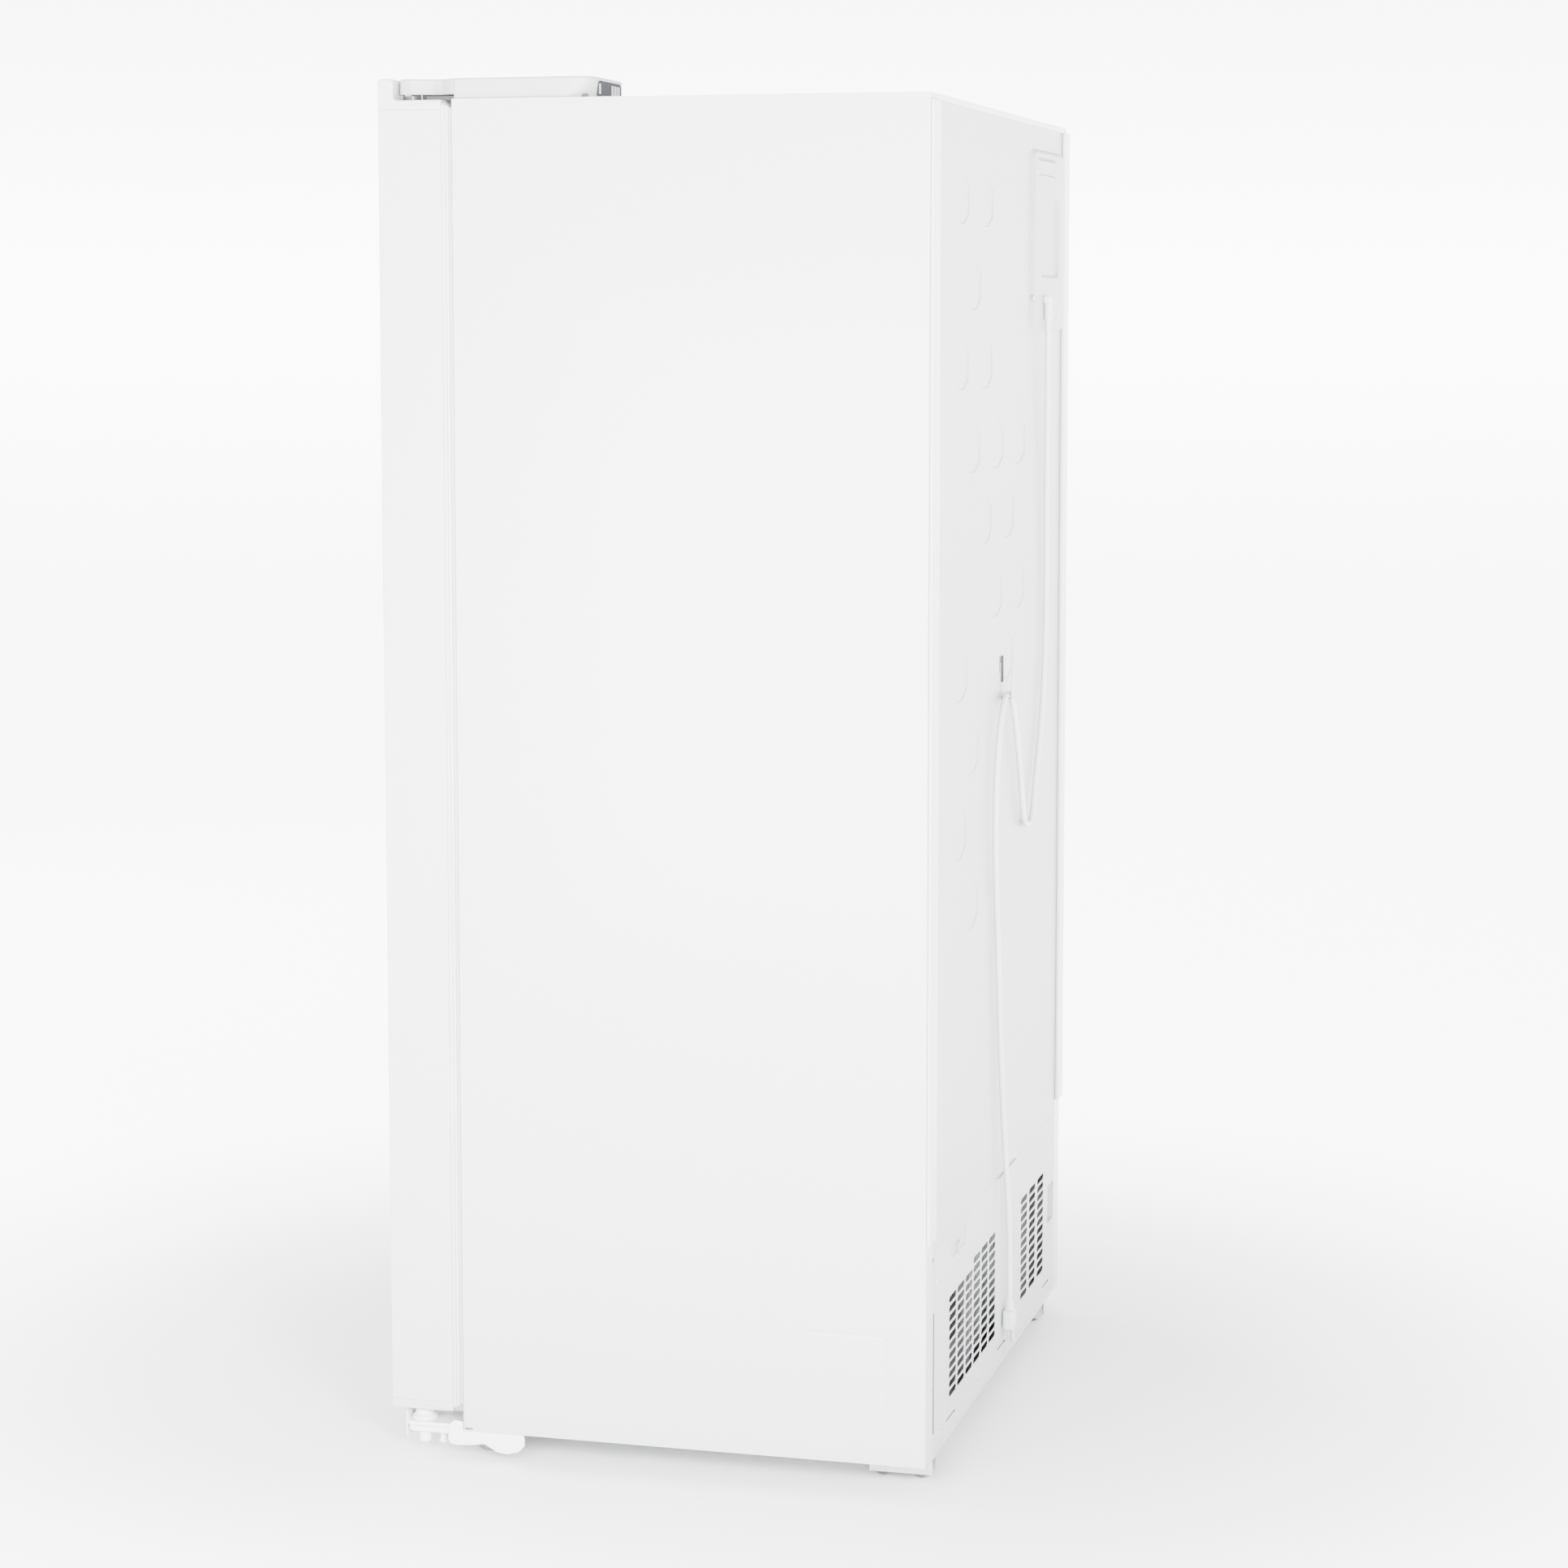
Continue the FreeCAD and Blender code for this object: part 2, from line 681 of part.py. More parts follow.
def make_hinges(s, at):
    """Top and bottom hinge plates with their pins, and the covers over the top ones."""
    tops, bottoms, covers = [], [], []
    roof = s.case_top
    pin_top = roof + s.hinge_gauge
    for name, side in (("left", -1), ("right", 1)):
        pin_x = side * at.pin_x
        inner = pin_x - side * s.neck_width
        plate_z = (roof, pin_top)
        tops.append(fuse(f"top_hinge_{name}", [
            rod(f"top_pin_{name}", "z", (pin_x, at.pin_y, at.door_top - s.pin_depth), s.pin_radius,
                pin_top - at.door_top + s.pin_depth),
            rod(f"top_lobe_{name}", "z", (pin_x, at.pin_y, roof), s.lobe_radius - 3, s.hinge_gauge),
            box(f"top_neck_{name}", span(inner + side * 3, pin_x), (at.pin_y, at.front), plate_z),
            box(f"top_plate_{name}", span(pin_x - side * 100, pin_x + side * 12),
                (at.front, at.front + s.cover_length - 10), plate_z),
        ]))

        hollow = s.cover_wall
        back = at.front + s.cover_length
        cover_x = span(side * (at.half - 4 - s.cover_width), side * (at.half - 4))
        lobe = prism(f"cover_lobe_{name}", "xy", (roof + s.cover_lift, at.cover_top),
                     circles=[((pin_x, at.pin_y), s.lobe_radius)])
        neck = box(f"cover_neck_{name}", span(inner, pin_x), (at.pin_y, at.front + 2),
                   (roof + s.cover_lift, at.cover_top))
        main = box(f"cover_main_{name}", cover_x, (at.front + 2, back), (roof, at.cover_top))
        lobe_hole = rod(f"cover_lobe_hole_{name}", "z", (pin_x, at.pin_y, roof), s.lobe_radius - hollow,
                        at.cover_top - roof - hollow)
        inner_x = (cover_x[0] + hollow, cover_x[1] - hollow)
        neck_hole = box(f"cover_neck_hole_{name}",
                        span(inner + side * hollow, pin_x - side * hollow),
                        (at.pin_y, at.front + s.cover_wall + 4), (roof, at.cover_top - hollow))
        main_hole = box(f"cover_main_hole_{name}", inner_x, (at.front + 2 + hollow, back - hollow),
                        (roof, at.cover_top - hollow))
        plate_slot = box(f"cover_plate_slot_{name}", span(pin_x - side * 101, pin_x + side * 12.5),
                         (at.front, at.front + 6), (roof, pin_top + 0.5))
        shell = fuse(f"cover_shell_{name}", [lobe, neck, main])
        covers.append(cut(f"hinge_cover_{name}", shell, [lobe_hole, neck_hole, main_hole, plate_slot]))

        bottom_z = at.door_bottom - 4
        under = s.case_bottom
        ledge = fuse(f"bottom_hinge_blank_{name}", [
            box(f"bottom_ledge_{name}", span(side * (at.leg_x - s.leg_foot - 2), side * (at.half - 4)),
                (at.pin_y - 17, at.leg_y + 35), (under - s.hinge_gauge - 2, under)),
            box(f"bottom_step_{name}", span(pin_x - side * 26, side * (at.half - 4)),
                (at.pin_y - 20, at.front - 1), (under, under + 6)),
            rod(f"bottom_boss_{name}", "z", (pin_x, at.pin_y, under), 12, bottom_z - under),
            rod(f"bottom_pin_{name}", "z", (pin_x, at.pin_y, under), s.pin_radius,
                at.door_bottom - under + s.pin_depth),
        ])
        thread = rod(f"leg_hole_{name}", "z", (side * at.leg_x, at.leg_y, 0), s.leg_radius + s.thread_play,
                     s.case_bottom * 2)
        bottoms.append(cut(f"bottom_hinge_{name}", ledge, [thread]))
    nodes["top_hinges"] = group("top_hinges", tops)
    nodes["hinge_covers"] = group("hinge_covers", covers)
    nodes["bottom_hinges"] = group("bottom_hinges", bottoms)


# ---------------------------------------------------------------- doors

def make_door(s, at, name, free_x, side):
    """One door: steel wrap, foam, lining with ribs, seal, end caps, grip recess and bins."""
    hinge_x = side * at.half
    lo, hi = span(free_x, hinge_x)
    front, back = at.door_front, at.door_back
    middle_z = (at.door_bottom + s.cap_height, at.door_top - s.cap_height)
    gauge = s.sheet

    def inward(distance):
        return free_x + side * distance

    grip_z = (s.handle_low, s.handle_high)
    end_z = (s.handle_low - s.handle_wall, s.handle_high + s.handle_wall)
    mouth = s.handle_mouth

    wrap = prism(f"{name}_door_skin", "xy", middle_z, [[
        (lo, back), (lo, front), (hi, front), (hi, back), (hi - gauge, back),
        (hi - gauge, front + gauge), (lo + gauge, front + gauge), (lo + gauge, back),
    ]])
    mouth_x = span(inward(-1), inward(mouth))
    add_pocket(wrap, "xy", end_z, [rectangle(mouth_x, (front - 1, front + s.handle_depth))])
    nodes[f"{name}_door_skin"] = wrap

    foam = prism(f"{name}_door_foam", "xy", middle_z,
                 [rectangle((lo + gauge, hi - gauge), (front + gauge, back - s.liner))])
    outer_width = s.handle_width + s.handle_wall
    outer_depth = s.handle_depth + s.handle_wall
    add_pocket(foam, "xy", end_z,
               [rectangle(span(inward(-1), inward(outer_width)), (front - 1, front + outer_depth))])
    nodes[f"{name}_door_foam"] = foam

    grip = prism(f"{name}_door_grip", "xy", end_z, [[
        (inward(0), front), (inward(mouth), front), (inward(mouth), front + gauge),
        (inward(outer_width), front + gauge), (inward(outer_width), front + outer_depth),
        (inward(gauge), front + outer_depth), (inward(gauge), front + s.handle_depth),
        (inward(0), front + s.handle_depth),
    ]])
    lip_y = front + gauge + s.handle_wall
    add_pocket(grip, "xy", grip_z, [[
        (inward(-1), front - 1), (inward(mouth), front - 1), (inward(mouth), lip_y),
        (inward(s.handle_width), lip_y), (inward(s.handle_width), front + s.handle_depth),
        (inward(-1), front + s.handle_depth),
    ]])
    nodes[f"{name}_door_grip"] = grip

    free_rib = span(inward(s.rib_inset), inward(s.rib_inset + s.rib_width))
    hinge_rib = span(hinge_x - side * (s.rib_inset + s.rib_width + 2), hinge_x - side * (s.rib_inset + 2))
    bin_lows = spread(at.door_bottom + s.bin_lift, at.door_top - s.bin_drop, BIN_COUNT)
    rib_z = (bin_lows[0] - 20, bin_lows[-1] + s.bin_height + 60)
    pan_outline = rectangle((lo + gauge, hi - gauge), (back - s.liner, back))
    pan = prism(f"{name}_door_liner", "xy", middle_z, [pan_outline])
    ribs = [rectangle(rib, (back, back + s.bin_depth)) for rib in (free_rib, hinge_rib)]
    add_pad(pan, "xy", rib_z, ribs)
    nodes[f"{name}_door_liner"] = pan

    seal_x = span(inward(6), hinge_x - side * (s.pin_inset - 1))
    seal_z = (at.door_bottom + 10, at.door_top - 10)
    inner_x = (seal_x[0] + s.seal_width, seal_x[1] - s.seal_width)
    inner_z = (seal_z[0] + s.seal_width, seal_z[1] - s.seal_width)
    nodes[f"{name}_door_gasket"] = prism(f"{name}_door_gasket", "xz", (back, at.front - s.seal_play),
                                         [rectangle(seal_x, seal_z), rectangle(inner_x, inner_z)])

    pin = ((side * at.pin_x, at.pin_y), s.pin_radius + s.pin_play)
    top = prism(f"{name}_top_cap", "xy", (middle_z[1], at.door_top), [rectangle((lo, hi), (front, back))])
    add_pad(top, "xy", (at.door_top, at.lip_top), [rectangle((lo, hi), (front, front + s.lip_depth))])
    add_pocket(top, "xy", (at.door_top - s.pin_depth - 0.5, at.door_top), circles=[pin])
    bottom = prism(f"{name}_bottom_cap", "xy", (at.door_bottom, middle_z[0]),
                   [rectangle((lo, hi), (front, back))])
    add_pocket(bottom, "xy", (at.door_bottom, at.door_bottom + s.pin_depth + 0.5), circles=[pin])
    nodes[f"{name}_door_caps"] = group(f"{name}_door_caps", [top, bottom])

    first, second = (free_rib, hinge_rib) if side > 0 else (hinge_rib, free_rib)
    bin_x = (first[1] + 1, second[0] - 1)
    bin_y = (back, back + s.bin_depth)
    bins = [
        tray(f"{name}_bin_{number}", bin_x, bin_y, (low, low + s.bin_height), s.bin_wall)
        for number, low in enumerate(bin_lows)
    ]
    nodes[f"{name}_door_bins"] = group(f"{name}_door_bins", bins)


# ---------------------------------------------------------------- inside the compartments

def shelf_levels(s, at):
    """Undersides of the shelves above the lowest one."""
    return spread(at.shelf_z + s.shelf_first_rise, at.roof_z - s.shelf_top_space, SHELF_COUNT)


def make_shelves(s, at, name, x, back):
    """Shelves of one compartment; the lowest one covers the drawers."""
    fitted = (x[0] + s.shelf_play, x[1] - s.shelf_play)
    reach = (-s.shelf_front, back - s.shelf_play)
    levels = [at.shelf_z, *shelf_levels(s, at)]
    plates = [
        box(f"{name}_shelf_{number}", fitted, reach, (level, level + s.shelf_gauge))
        for number, level in enumerate(levels)
    ]
    nodes[f"{name}_shelves"] = group(f"{name}_shelves", plates)


def make_drawers(s, at, name, x):
    """Two open drawers under the lowest shelf."""
    fitted = (x[0] + s.drawer_play, x[1] - s.drawer_play)
    reach = (-s.drawer_front, at.step_y - s.drawer_play)
    low = at.floor_z + s.drawer_play
    height = (at.shelf_z - s.drawer_top_play - low - s.drawer_play) / 2
    for place in ("lower", "upper"):
        label = f"{name}_drawer_{place}"
        nodes[label] = tray(label, fitted, reach, (low, low + height), s.drawer_wall)
        low = low + height + s.drawer_play


def make_cold_side(s, at):
    """Air ducts, evaporator, its fan and the interior lamps."""
    duct_y = at.back_y - s.coil_space
    coil_z = (at.step_z + s.coil_rise, at.step_z + s.coil_rise + s.coil_height)
    fan_z = coil_z[1] + s.fan_over_coil
    gauge = 3
    fan_x = (at.freezer_x[0] + at.freezer_x[1]) / 2
    fan = ((fan_x, fan_z), s.cold_fan_tip + s.fan_play)
    freezer_x = (at.freezer_x[0] + 1, at.freezer_x[1] - 1)
    panel = rectangle(freezer_x, (at.step_z + 1, at.roof_z - 1))
    slot_x = (freezer_x[0] + 60, freezer_x[1] - 60)
    slot_lows = (fan_z + 250, at.roof_z - 184, at.roof_z - 84)
    slots = [rectangle(slot_x, (low, low + 14)) for low in slot_lows]
    nodes["freezer_back_duct"] = prism("freezer_back_duct", "xz", (duct_y, duct_y + gauge),
                                       [panel, *slots], [fan])
    fin_block("evaporator", (at.freezer_x[0] + 22, at.freezer_x[1] - 22), (duct_y + 18, at.back_y - 12),
              coil_z, 24, 5)
    make_fan("evaporator_fan", "y", (fan_x, duct_y + 12, fan_z), 16, s.cold_fan_tip, 20)
    middle = (at.fridge_x[0] + at.fridge_x[1]) / 2
    duct = prism("fridge_back_duct", "xz", (at.back_y - 20, at.back_y),
                 [rectangle((middle - 100, middle + 100), (at.step_z + 40, at.roof_z - 60))])
    vent_lows = [level - s.vent_drop for level in shelf_levels(s, at)]
    vent_lows.append(at.roof_z - s.vent_roof_drop)
    vents = [rectangle((middle - 70, middle + 70), (low, low + 12)) for low in vent_lows]
    add_pocket(duct, "xz", (at.back_y - 20, at.back_y - 12), vents)
    nodes["fridge_back_duct"] = duct
    lamps = [
        box(f"lamp_{number}", ((x[0] + x[1]) / 2 - 60, (x[0] + x[1]) / 2 + 60), (-60, 0),
            (at.roof_z - 12, at.roof_z))
        for number, x in enumerate((at.freezer_x, at.fridge_x))
    ]
    nodes["interior_lamps"] = group("interior_lamps", lamps)
    return duct_y


# ---------------------------------------------------------------- machine bay

def fin_block(name, x, y, z, fins, tubes):
    """Thin fins threaded on straight tubes."""
    x, y, z = ([as_size(end) for end in pair] for pair in (x, y, z))
    pitch = (x[1] - x[0] - 1) / (fins - 1)
    plates = [
        box(f"{name}_fin_{number}", (x[0] + pitch * number, x[0] + pitch * number + 1), y, z)
        for number in range(fins)
    ]
    step = (z[1] - z[0]) / tubes
    middle = (y[0] + y[1]) / 2
    pipes = [
        rod(f"{name}_tube_{number}", "x", (x[0], middle, z[0] + step * (number + 0.5)), 4, x[1] - x[0])
        for number in range(tubes)
    ]
    nodes[name] = fuse(name, [*plates, *pipes])


def make_fan(name, axis, centre, hub_radius, tip_radius, depth):
    """Hub with five pitched blades, turned to face along its axis."""
    blades, blade_gauge, root = 5, 2, hub_radius - 2
    body = prism(name, "xy", (-depth / 2, as_size(depth) / 2), circles=[((0, 0), hub_radius)])
    lean = depth * 0.42
    blade = add_pad(body, "xz", (as_size(root), tip_radius - 4), [[
        (-lean, -lean), (blade_gauge - lean, -lean), (lean + blade_gauge, lean), (lean, lean),
    ]])
    ring = body.newObject("PartDesign::PolarPattern", name + "_blades")
    ring.Originals = [blade]
    ring.Axis = (next(item for item in body.Origin.OriginFeatures if item.Role == "Z_Axis"), [""])
    ring.Angle = 360
    ring.Occurrences = blades
    body.Tip = ring
    body.Placement = Placement(Vector(), TURNS[axis])
    for letter, value in zip("xyz", centre):
        bind(body, f"Placement.Base.{letter}", value)
    nodes[name] = body


def make_machinery(s, at):
    """Compressor on its mounts, condenser with fan and shroud, and the drain pan."""
    floor = at.base_top
    x, y, r = s.compressor_x, at.machine_y, s.compressor_radius
    shell = doc.addObject("PartDesign::Body", "compressor_shell")
    sketch = add_sketch(shell, "xz", 0, [[
        (0, 22.5), (r * 0.7, 22.5), (r * 0.93, 38.5), (r, 62.5), (r, 132.5), (r * 0.93, 160.5),
        (r * 0.66, 181.5), (r * 0.3, 189.5), (0, 190.5),
    ]])
    turned = shell.newObject("PartDesign::Revolution", "compressor_turned")
    turned.Profile = sketch
    turned.ReferenceAxis = (sketch, ["V_Axis"])
    turned.Angle = 360
    bind(shell, "Placement.Base.x", x)
    bind(shell, "Placement.Base.y", y)
    bind(shell, "Placement.Base.z", floor)
    foot_z = (floor + 15, floor + 18)
    plate = box("compressor_foot", (x - 95, x + 95), (y - 60, y + 60), foot_z)
    stem = rod("compressor_stem", "z", (x, y, foot_z[0]), 40, 20)
    nodes["compressor"] = fuse("compressor", [shell, plate, stem])
    mounts = [
        rod(f"compressor_mount_{number}", "z", (x + dx * 80, y + dy * 45, floor), 11, 15)
        for number, (dx, dy) in enumerate(((-1, -1), (1, -1), (-1, 1), (1, 1)))
    ]
    nodes["compressor_mounts"] = group("compressor_mounts", mounts)
    fan_centre = (s.fan_x, at.machine_y, at.fan_z)
    make_fan("condenser_fan", "x", fan_centre, 18, s.fan_tip, 24)
    opening = ((at.machine_y, at.fan_z), s.fan_tip + s.fan_play)
    wall = rectangle((at.bay_y + 16, s.case_rear - 18), (floor, at.fan_z + 84))
    nodes["fan_shroud"] = prism("fan_shroud", "yz", (s.fan_x - 3, s.fan_x + 3), [wall], [opening])
    fin_block("condenser", (s.fan_x - 250, s.fan_x - 40), (at.bay_y + 30, s.case_rear - 32),
              (floor + 26, floor + 170), 22, 4)
    nodes["drain_pan"] = tray("drain_pan", (s.fan_x - 262, s.fan_x - 30),
                              (at.bay_y + 15, s.case_rear - 17), (floor, floor + 22), as_size(2))


# ---------------------------------------------------------------- power cord

def cord_path(points, share):
    """Straight runs joined by tangent arcs, each arc as large as its two runs allow."""
    places = [Vector(*point) for point in points]
    edges, radii, start = [], [], places[0]
    for before, corner, after in zip(places, places[1:], places[2:]):
        arriving, leaving = (corner - before).normalize(), (after - corner).normalize()
        turn = arriving.getAngle(leaving)
        shorter = min((corner - before).Length, (after - corner).Length)
        setback = share * shorter
        radius = setback / math.tan(turn / 2)
        radii.append(radius)
        first, last = corner - arriving * setback, corner + leaving * setback
        toward_centre = (leaving - arriving).normalize()
        middle = corner + toward_centre * (radius / math.cos(turn / 2) - radius)
        edges.append(Part.LineSegment(start, first).toShape())
        edges.append(Part.Arc(first, middle, last).toShape())
        start = last
    edges.append(Part.LineSegment(start, places[-1]).toShape())
    return Part.Wire(edges), radii


def make_cord(s, at):
    """Round mains cord, its tapered gland, the plug and the hook that it hangs on."""
    radius = s.cord_diameter.value / 2
    wire, radii = cord_path(CORD_ROUTE, CORD_BEND_SHARE)
    start = Vector(*CORD_ROUTE[0])
    direction = (Vector(*CORD_ROUTE[1]) - start).normalize()
    section = Part.Wire(Part.Circle(start, direction, radius).toShape())
    tube = wire.makePipeShell([section], True, False)
    cord = doc.addObject("Part::Feature", "power_cord")
    cord.Shape = tube
    cord.Placement = Placement()
    nodes["power_cord"] = cord
    expected = math.pi * radius ** 2 * wire.Length
    print("cord length", round(wire.Length, 1), "volume ratio", round(tube.Volume / expected, 4))
    print("cord radii", " ".join(str(round(value)) for value in radii))

    face = s.case_rear + s.box_raise
    exit_x, exit_y, exit_z = at.box_x[1] - 77, face + 5.5, at.box_z[0] + 18
    sleeve = cone("gland_sleeve", (exit_x, exit_y, exit_z), s.cord_diameter / 2 + 1, 5.5, 28)
    root = box("gland_root", (exit_x - 9, exit_x + 9), (face, exit_y + 5.5), (exit_z + 24, exit_z + 34))
    nodes["cord_gland"] = fuse("cord_gland", [sleeve, root])

    end_x, end_y, end_z = CORD_ROUTE[-1]
    neck = cone("plug_neck", (end_x, end_y, end_z - 16), 7, 5, 16)
    head = box("plug_head", (end_x - 13, end_x + 13), (end_y - 8, end_y + 8), (end_z - 40, end_z - 14))
    blades = [
        box(f"plug_blade_{number}", (end_x + offset - 3.2, end_x + offset + 3.2), (end_y - 0.8, end_y + 0.8),
            (end_z - 57, end_z - 40))
        for number, offset in enumerate((-6.35, 6.35))
    ]
    earth = rod("plug_earth", "z", (end_x, end_y + 4.5, end_z - 60), 2.3, 21)
    nodes["power_plug"] = fuse("power_plug", [neck, head, *blades, earth])

    hook_low, gauge, reach = 961.4, 1.2, 17
    rear = s.case_rear
    profile = [
        (rear, hook_low), (rear + reach, hook_low), (rear + reach, hook_low + 38),
        (rear + reach - gauge, hook_low + 38), (rear + reach - gauge, hook_low + gauge),
        (rear + gauge, hook_low + gauge), (rear + gauge, hook_low + 50), (rear, hook_low + 50),
    ]
    nodes["cord_hook"] = prism("cord_hook", "yz", (-8, 8), [profile])


# ---------------------------------------------------------------- checks and export

def check_document():
    """Stop on a failed feature, a cut that removes nothing, or a bad shape."""
    for item in doc.Objects:
        if {"Invalid", "Error"} & set(item.State):
            raise RuntimeError(f"{item.Label} failed: {item.State}")
        if item.TypeId == "PartDesign::Pocket" and item.BaseFeature is not None:
            if item.Shape.Volume >= item.BaseFeature.Shape.Volume - 1e-6:
                raise RuntimeError(f"{item.Label} cuts nothing")
    for name, item in nodes.items():
        shape = item.Shape
        if shape.isNull() or not shape.isValid() or not shape.Solids:
            raise RuntimeError(f"{name} has no valid solid")


def export_nodes():
    """Write one file for each sub-part."""
    os.makedirs("parts", exist_ok=True)
    for name, item in nodes.items():
        item.Label = name
        item.Shape.exportStep(f"parts/{name}.step")
        print(name, len(item.Shape.Solids), "solids", round(item.Shape.Volume / 1000, 1), "cm3")
    print(len(nodes), "nodes")


def main():
    """Build every piece, then check and export."""
    s = make_sheet(SIZES)
    at = make_layout(s)
    make_side_panel(s, at, "side_panel_left", -1)
    make_side_panel(s, at, "side_panel_right", 1)
    make_top_panel(s, at)
    make_front_frame(s, at)
    make_base(s, at)
    make_insulation(s, at)
    make_liner(s, at, "freezer_liner", at.freezer_x)
    make_liner(s, at, "fridge_liner", at.fridge_x)
    make_rear_sheets(s, at)
    make_control_box(s, at)
    make_toe_kick(s, at)
    make_feet(s, at)
    make_hinges(s, at)
    half_split = s.door_split / 2
    make_door(s, at, "freezer", s.partition_centre - half_split, -1)
    make_door(s, at, "fridge", s.partition_centre + half_split, 1)
    duct_y = make_cold_side(s, at)
    make_shelves(s, at, "freezer", at.freezer_x, duct_y)
    make_shelves(s, at, "fridge", at.fridge_x, at.back_y - 20)
    make_drawers(s, at, "freezer", at.freezer_x)
    make_drawers(s, at, "fridge", at.fridge_x)
    make_machinery(s, at)
    make_cord(s, at)
    doc.recompute()
    check_document()
    export_nodes()


main()
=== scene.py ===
import math

import bmesh
import bpy
import numpy as np
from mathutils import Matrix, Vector


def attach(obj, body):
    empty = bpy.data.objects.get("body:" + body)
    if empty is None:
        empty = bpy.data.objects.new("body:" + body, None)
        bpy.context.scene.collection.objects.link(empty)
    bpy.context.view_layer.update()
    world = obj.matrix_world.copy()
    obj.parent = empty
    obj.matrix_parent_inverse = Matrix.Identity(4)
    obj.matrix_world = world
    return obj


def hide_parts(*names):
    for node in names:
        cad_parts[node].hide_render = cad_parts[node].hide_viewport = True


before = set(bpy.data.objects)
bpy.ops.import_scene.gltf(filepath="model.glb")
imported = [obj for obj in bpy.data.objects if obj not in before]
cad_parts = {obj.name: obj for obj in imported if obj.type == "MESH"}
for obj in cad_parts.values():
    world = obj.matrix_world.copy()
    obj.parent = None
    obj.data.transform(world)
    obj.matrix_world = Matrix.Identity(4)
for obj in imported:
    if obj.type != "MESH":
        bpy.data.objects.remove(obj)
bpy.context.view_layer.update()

bl_info = {
    "name": "Side by Side Refrigerator",
    "version": (1, 0, 0),
    "blender": (4, 5, 0),
    "location": "View3D > Sidebar > Refrigerator",
    "description": "Builds the visible surfaces of a side by side refrigerator over its packed frame",
    "category": "Object",
}

MM = 0.001

# Shared sizes of the case, in millimetres.
CASE_FRONT, CASE_REAR, CASE_TOP = -260.0, 352.0, 1744.0
CASE_HALF, FLANGE_START = 456.0, 418.5
SHEET = 0.8
PIN_X, PIN_Y = 431.0, -321.0
REAR_FACE = 352.6

# ---------------------------------------------------------------- settings


class CaseSettings(bpy.types.PropertyGroup):
    """Sizes and colours of the painted case."""

    fold_radius: bpy.props.FloatProperty(
        name="Fold radius", description="Outside radius of a folded sheet", default=2.2 * MM, subtype="DISTANCE")
    groove_depth: bpy.props.FloatProperty(
        name="Groove depth", description="Depth of the pressed line low on each side", default=1.3 * MM,
        subtype="DISTANCE")
    emboss_height: bpy.props.FloatProperty(
        name="Emboss height", description="How deep the pads of the rear panel are pressed in", default=1.2 * MM,
        subtype="DISTANCE")
    paint: bpy.props.FloatVectorProperty(
        name="Side paint", description="Colour of the painted sides and doors", default=(0.50, 0.505, 0.505), size=3,
        subtype="COLOR")
    # Rear paint: the white case paint drawn darker, as painted shade on the rear face.
    rear_paint: bpy.props.FloatVectorProperty(
        name="Rear paint", description="Colour of the rear sheets", default=(0.37, 0.374, 0.374), size=3,
        subtype="COLOR")


class DoorSettings(bpy.types.PropertyGroup):
    """Sizes of the doors."""

    edge_radius: bpy.props.FloatProperty(
        name="Edge radius", description="Radius of the upright door edges", default=2.6 * MM, subtype="DISTANCE")
    lip_radius: bpy.props.FloatProperty(
        name="Lip radius", description="Radius along the top of the door lip", default=5 * MM, subtype="DISTANCE")


class CordSettings(bpy.types.PropertyGroup):
    """Size and colour of the mains cord."""

    diameter: bpy.props.FloatProperty(
        name="Diameter", description="Outside diameter of the round cord", default=8 * MM, subtype="DISTANCE")
    length: bpy.props.FloatProperty(
        name="Length", description="Length from the gland to the plug", default=1.891, subtype="DISTANCE")
    colour: bpy.props.FloatVectorProperty(
        name="Colour", description="Colour of the cord and its plug", default=(0.58, 0.587, 0.587), size=3,
        subtype="COLOR")


class StageSettings(bpy.types.PropertyGroup):
    """Camera and light."""

    eye: bpy.props.FloatVectorProperty(
        name="Eye", description="Place of the camera", default=(4.753, 1.3011, 1.4759), size=3, subtype="XYZ")
    azimuth: bpy.props.FloatProperty(
        name="Azimuth", description="Heading round the object", default=math.radians(104.75), subtype="ANGLE")
    pitch: bpy.props.FloatProperty(
        name="Pitch", description="How far the camera looks down", default=math.radians(5.93), subtype="ANGLE")
    lens: bpy.props.FloatProperty(
        name="Lens", description="Focal length in millimetres on a 36 mm sensor", default=82.86)
    rise: bpy.props.FloatProperty(
        name="Shift", description="Upward shift of the lens", default=-0.06)
    backdrop: bpy.props.FloatProperty(
        name="Backdrop", description="Brightness of the studio at eye level", default=12.0)
    ceiling: bpy.props.FloatProperty(
        name="Ceiling", description="Brightness of the studio overhead", default=2.6)
    lamps: bpy.props.FloatProperty(
        name="Lamps", description="Power that the three soft lamps share by their own factors", default=130.0)


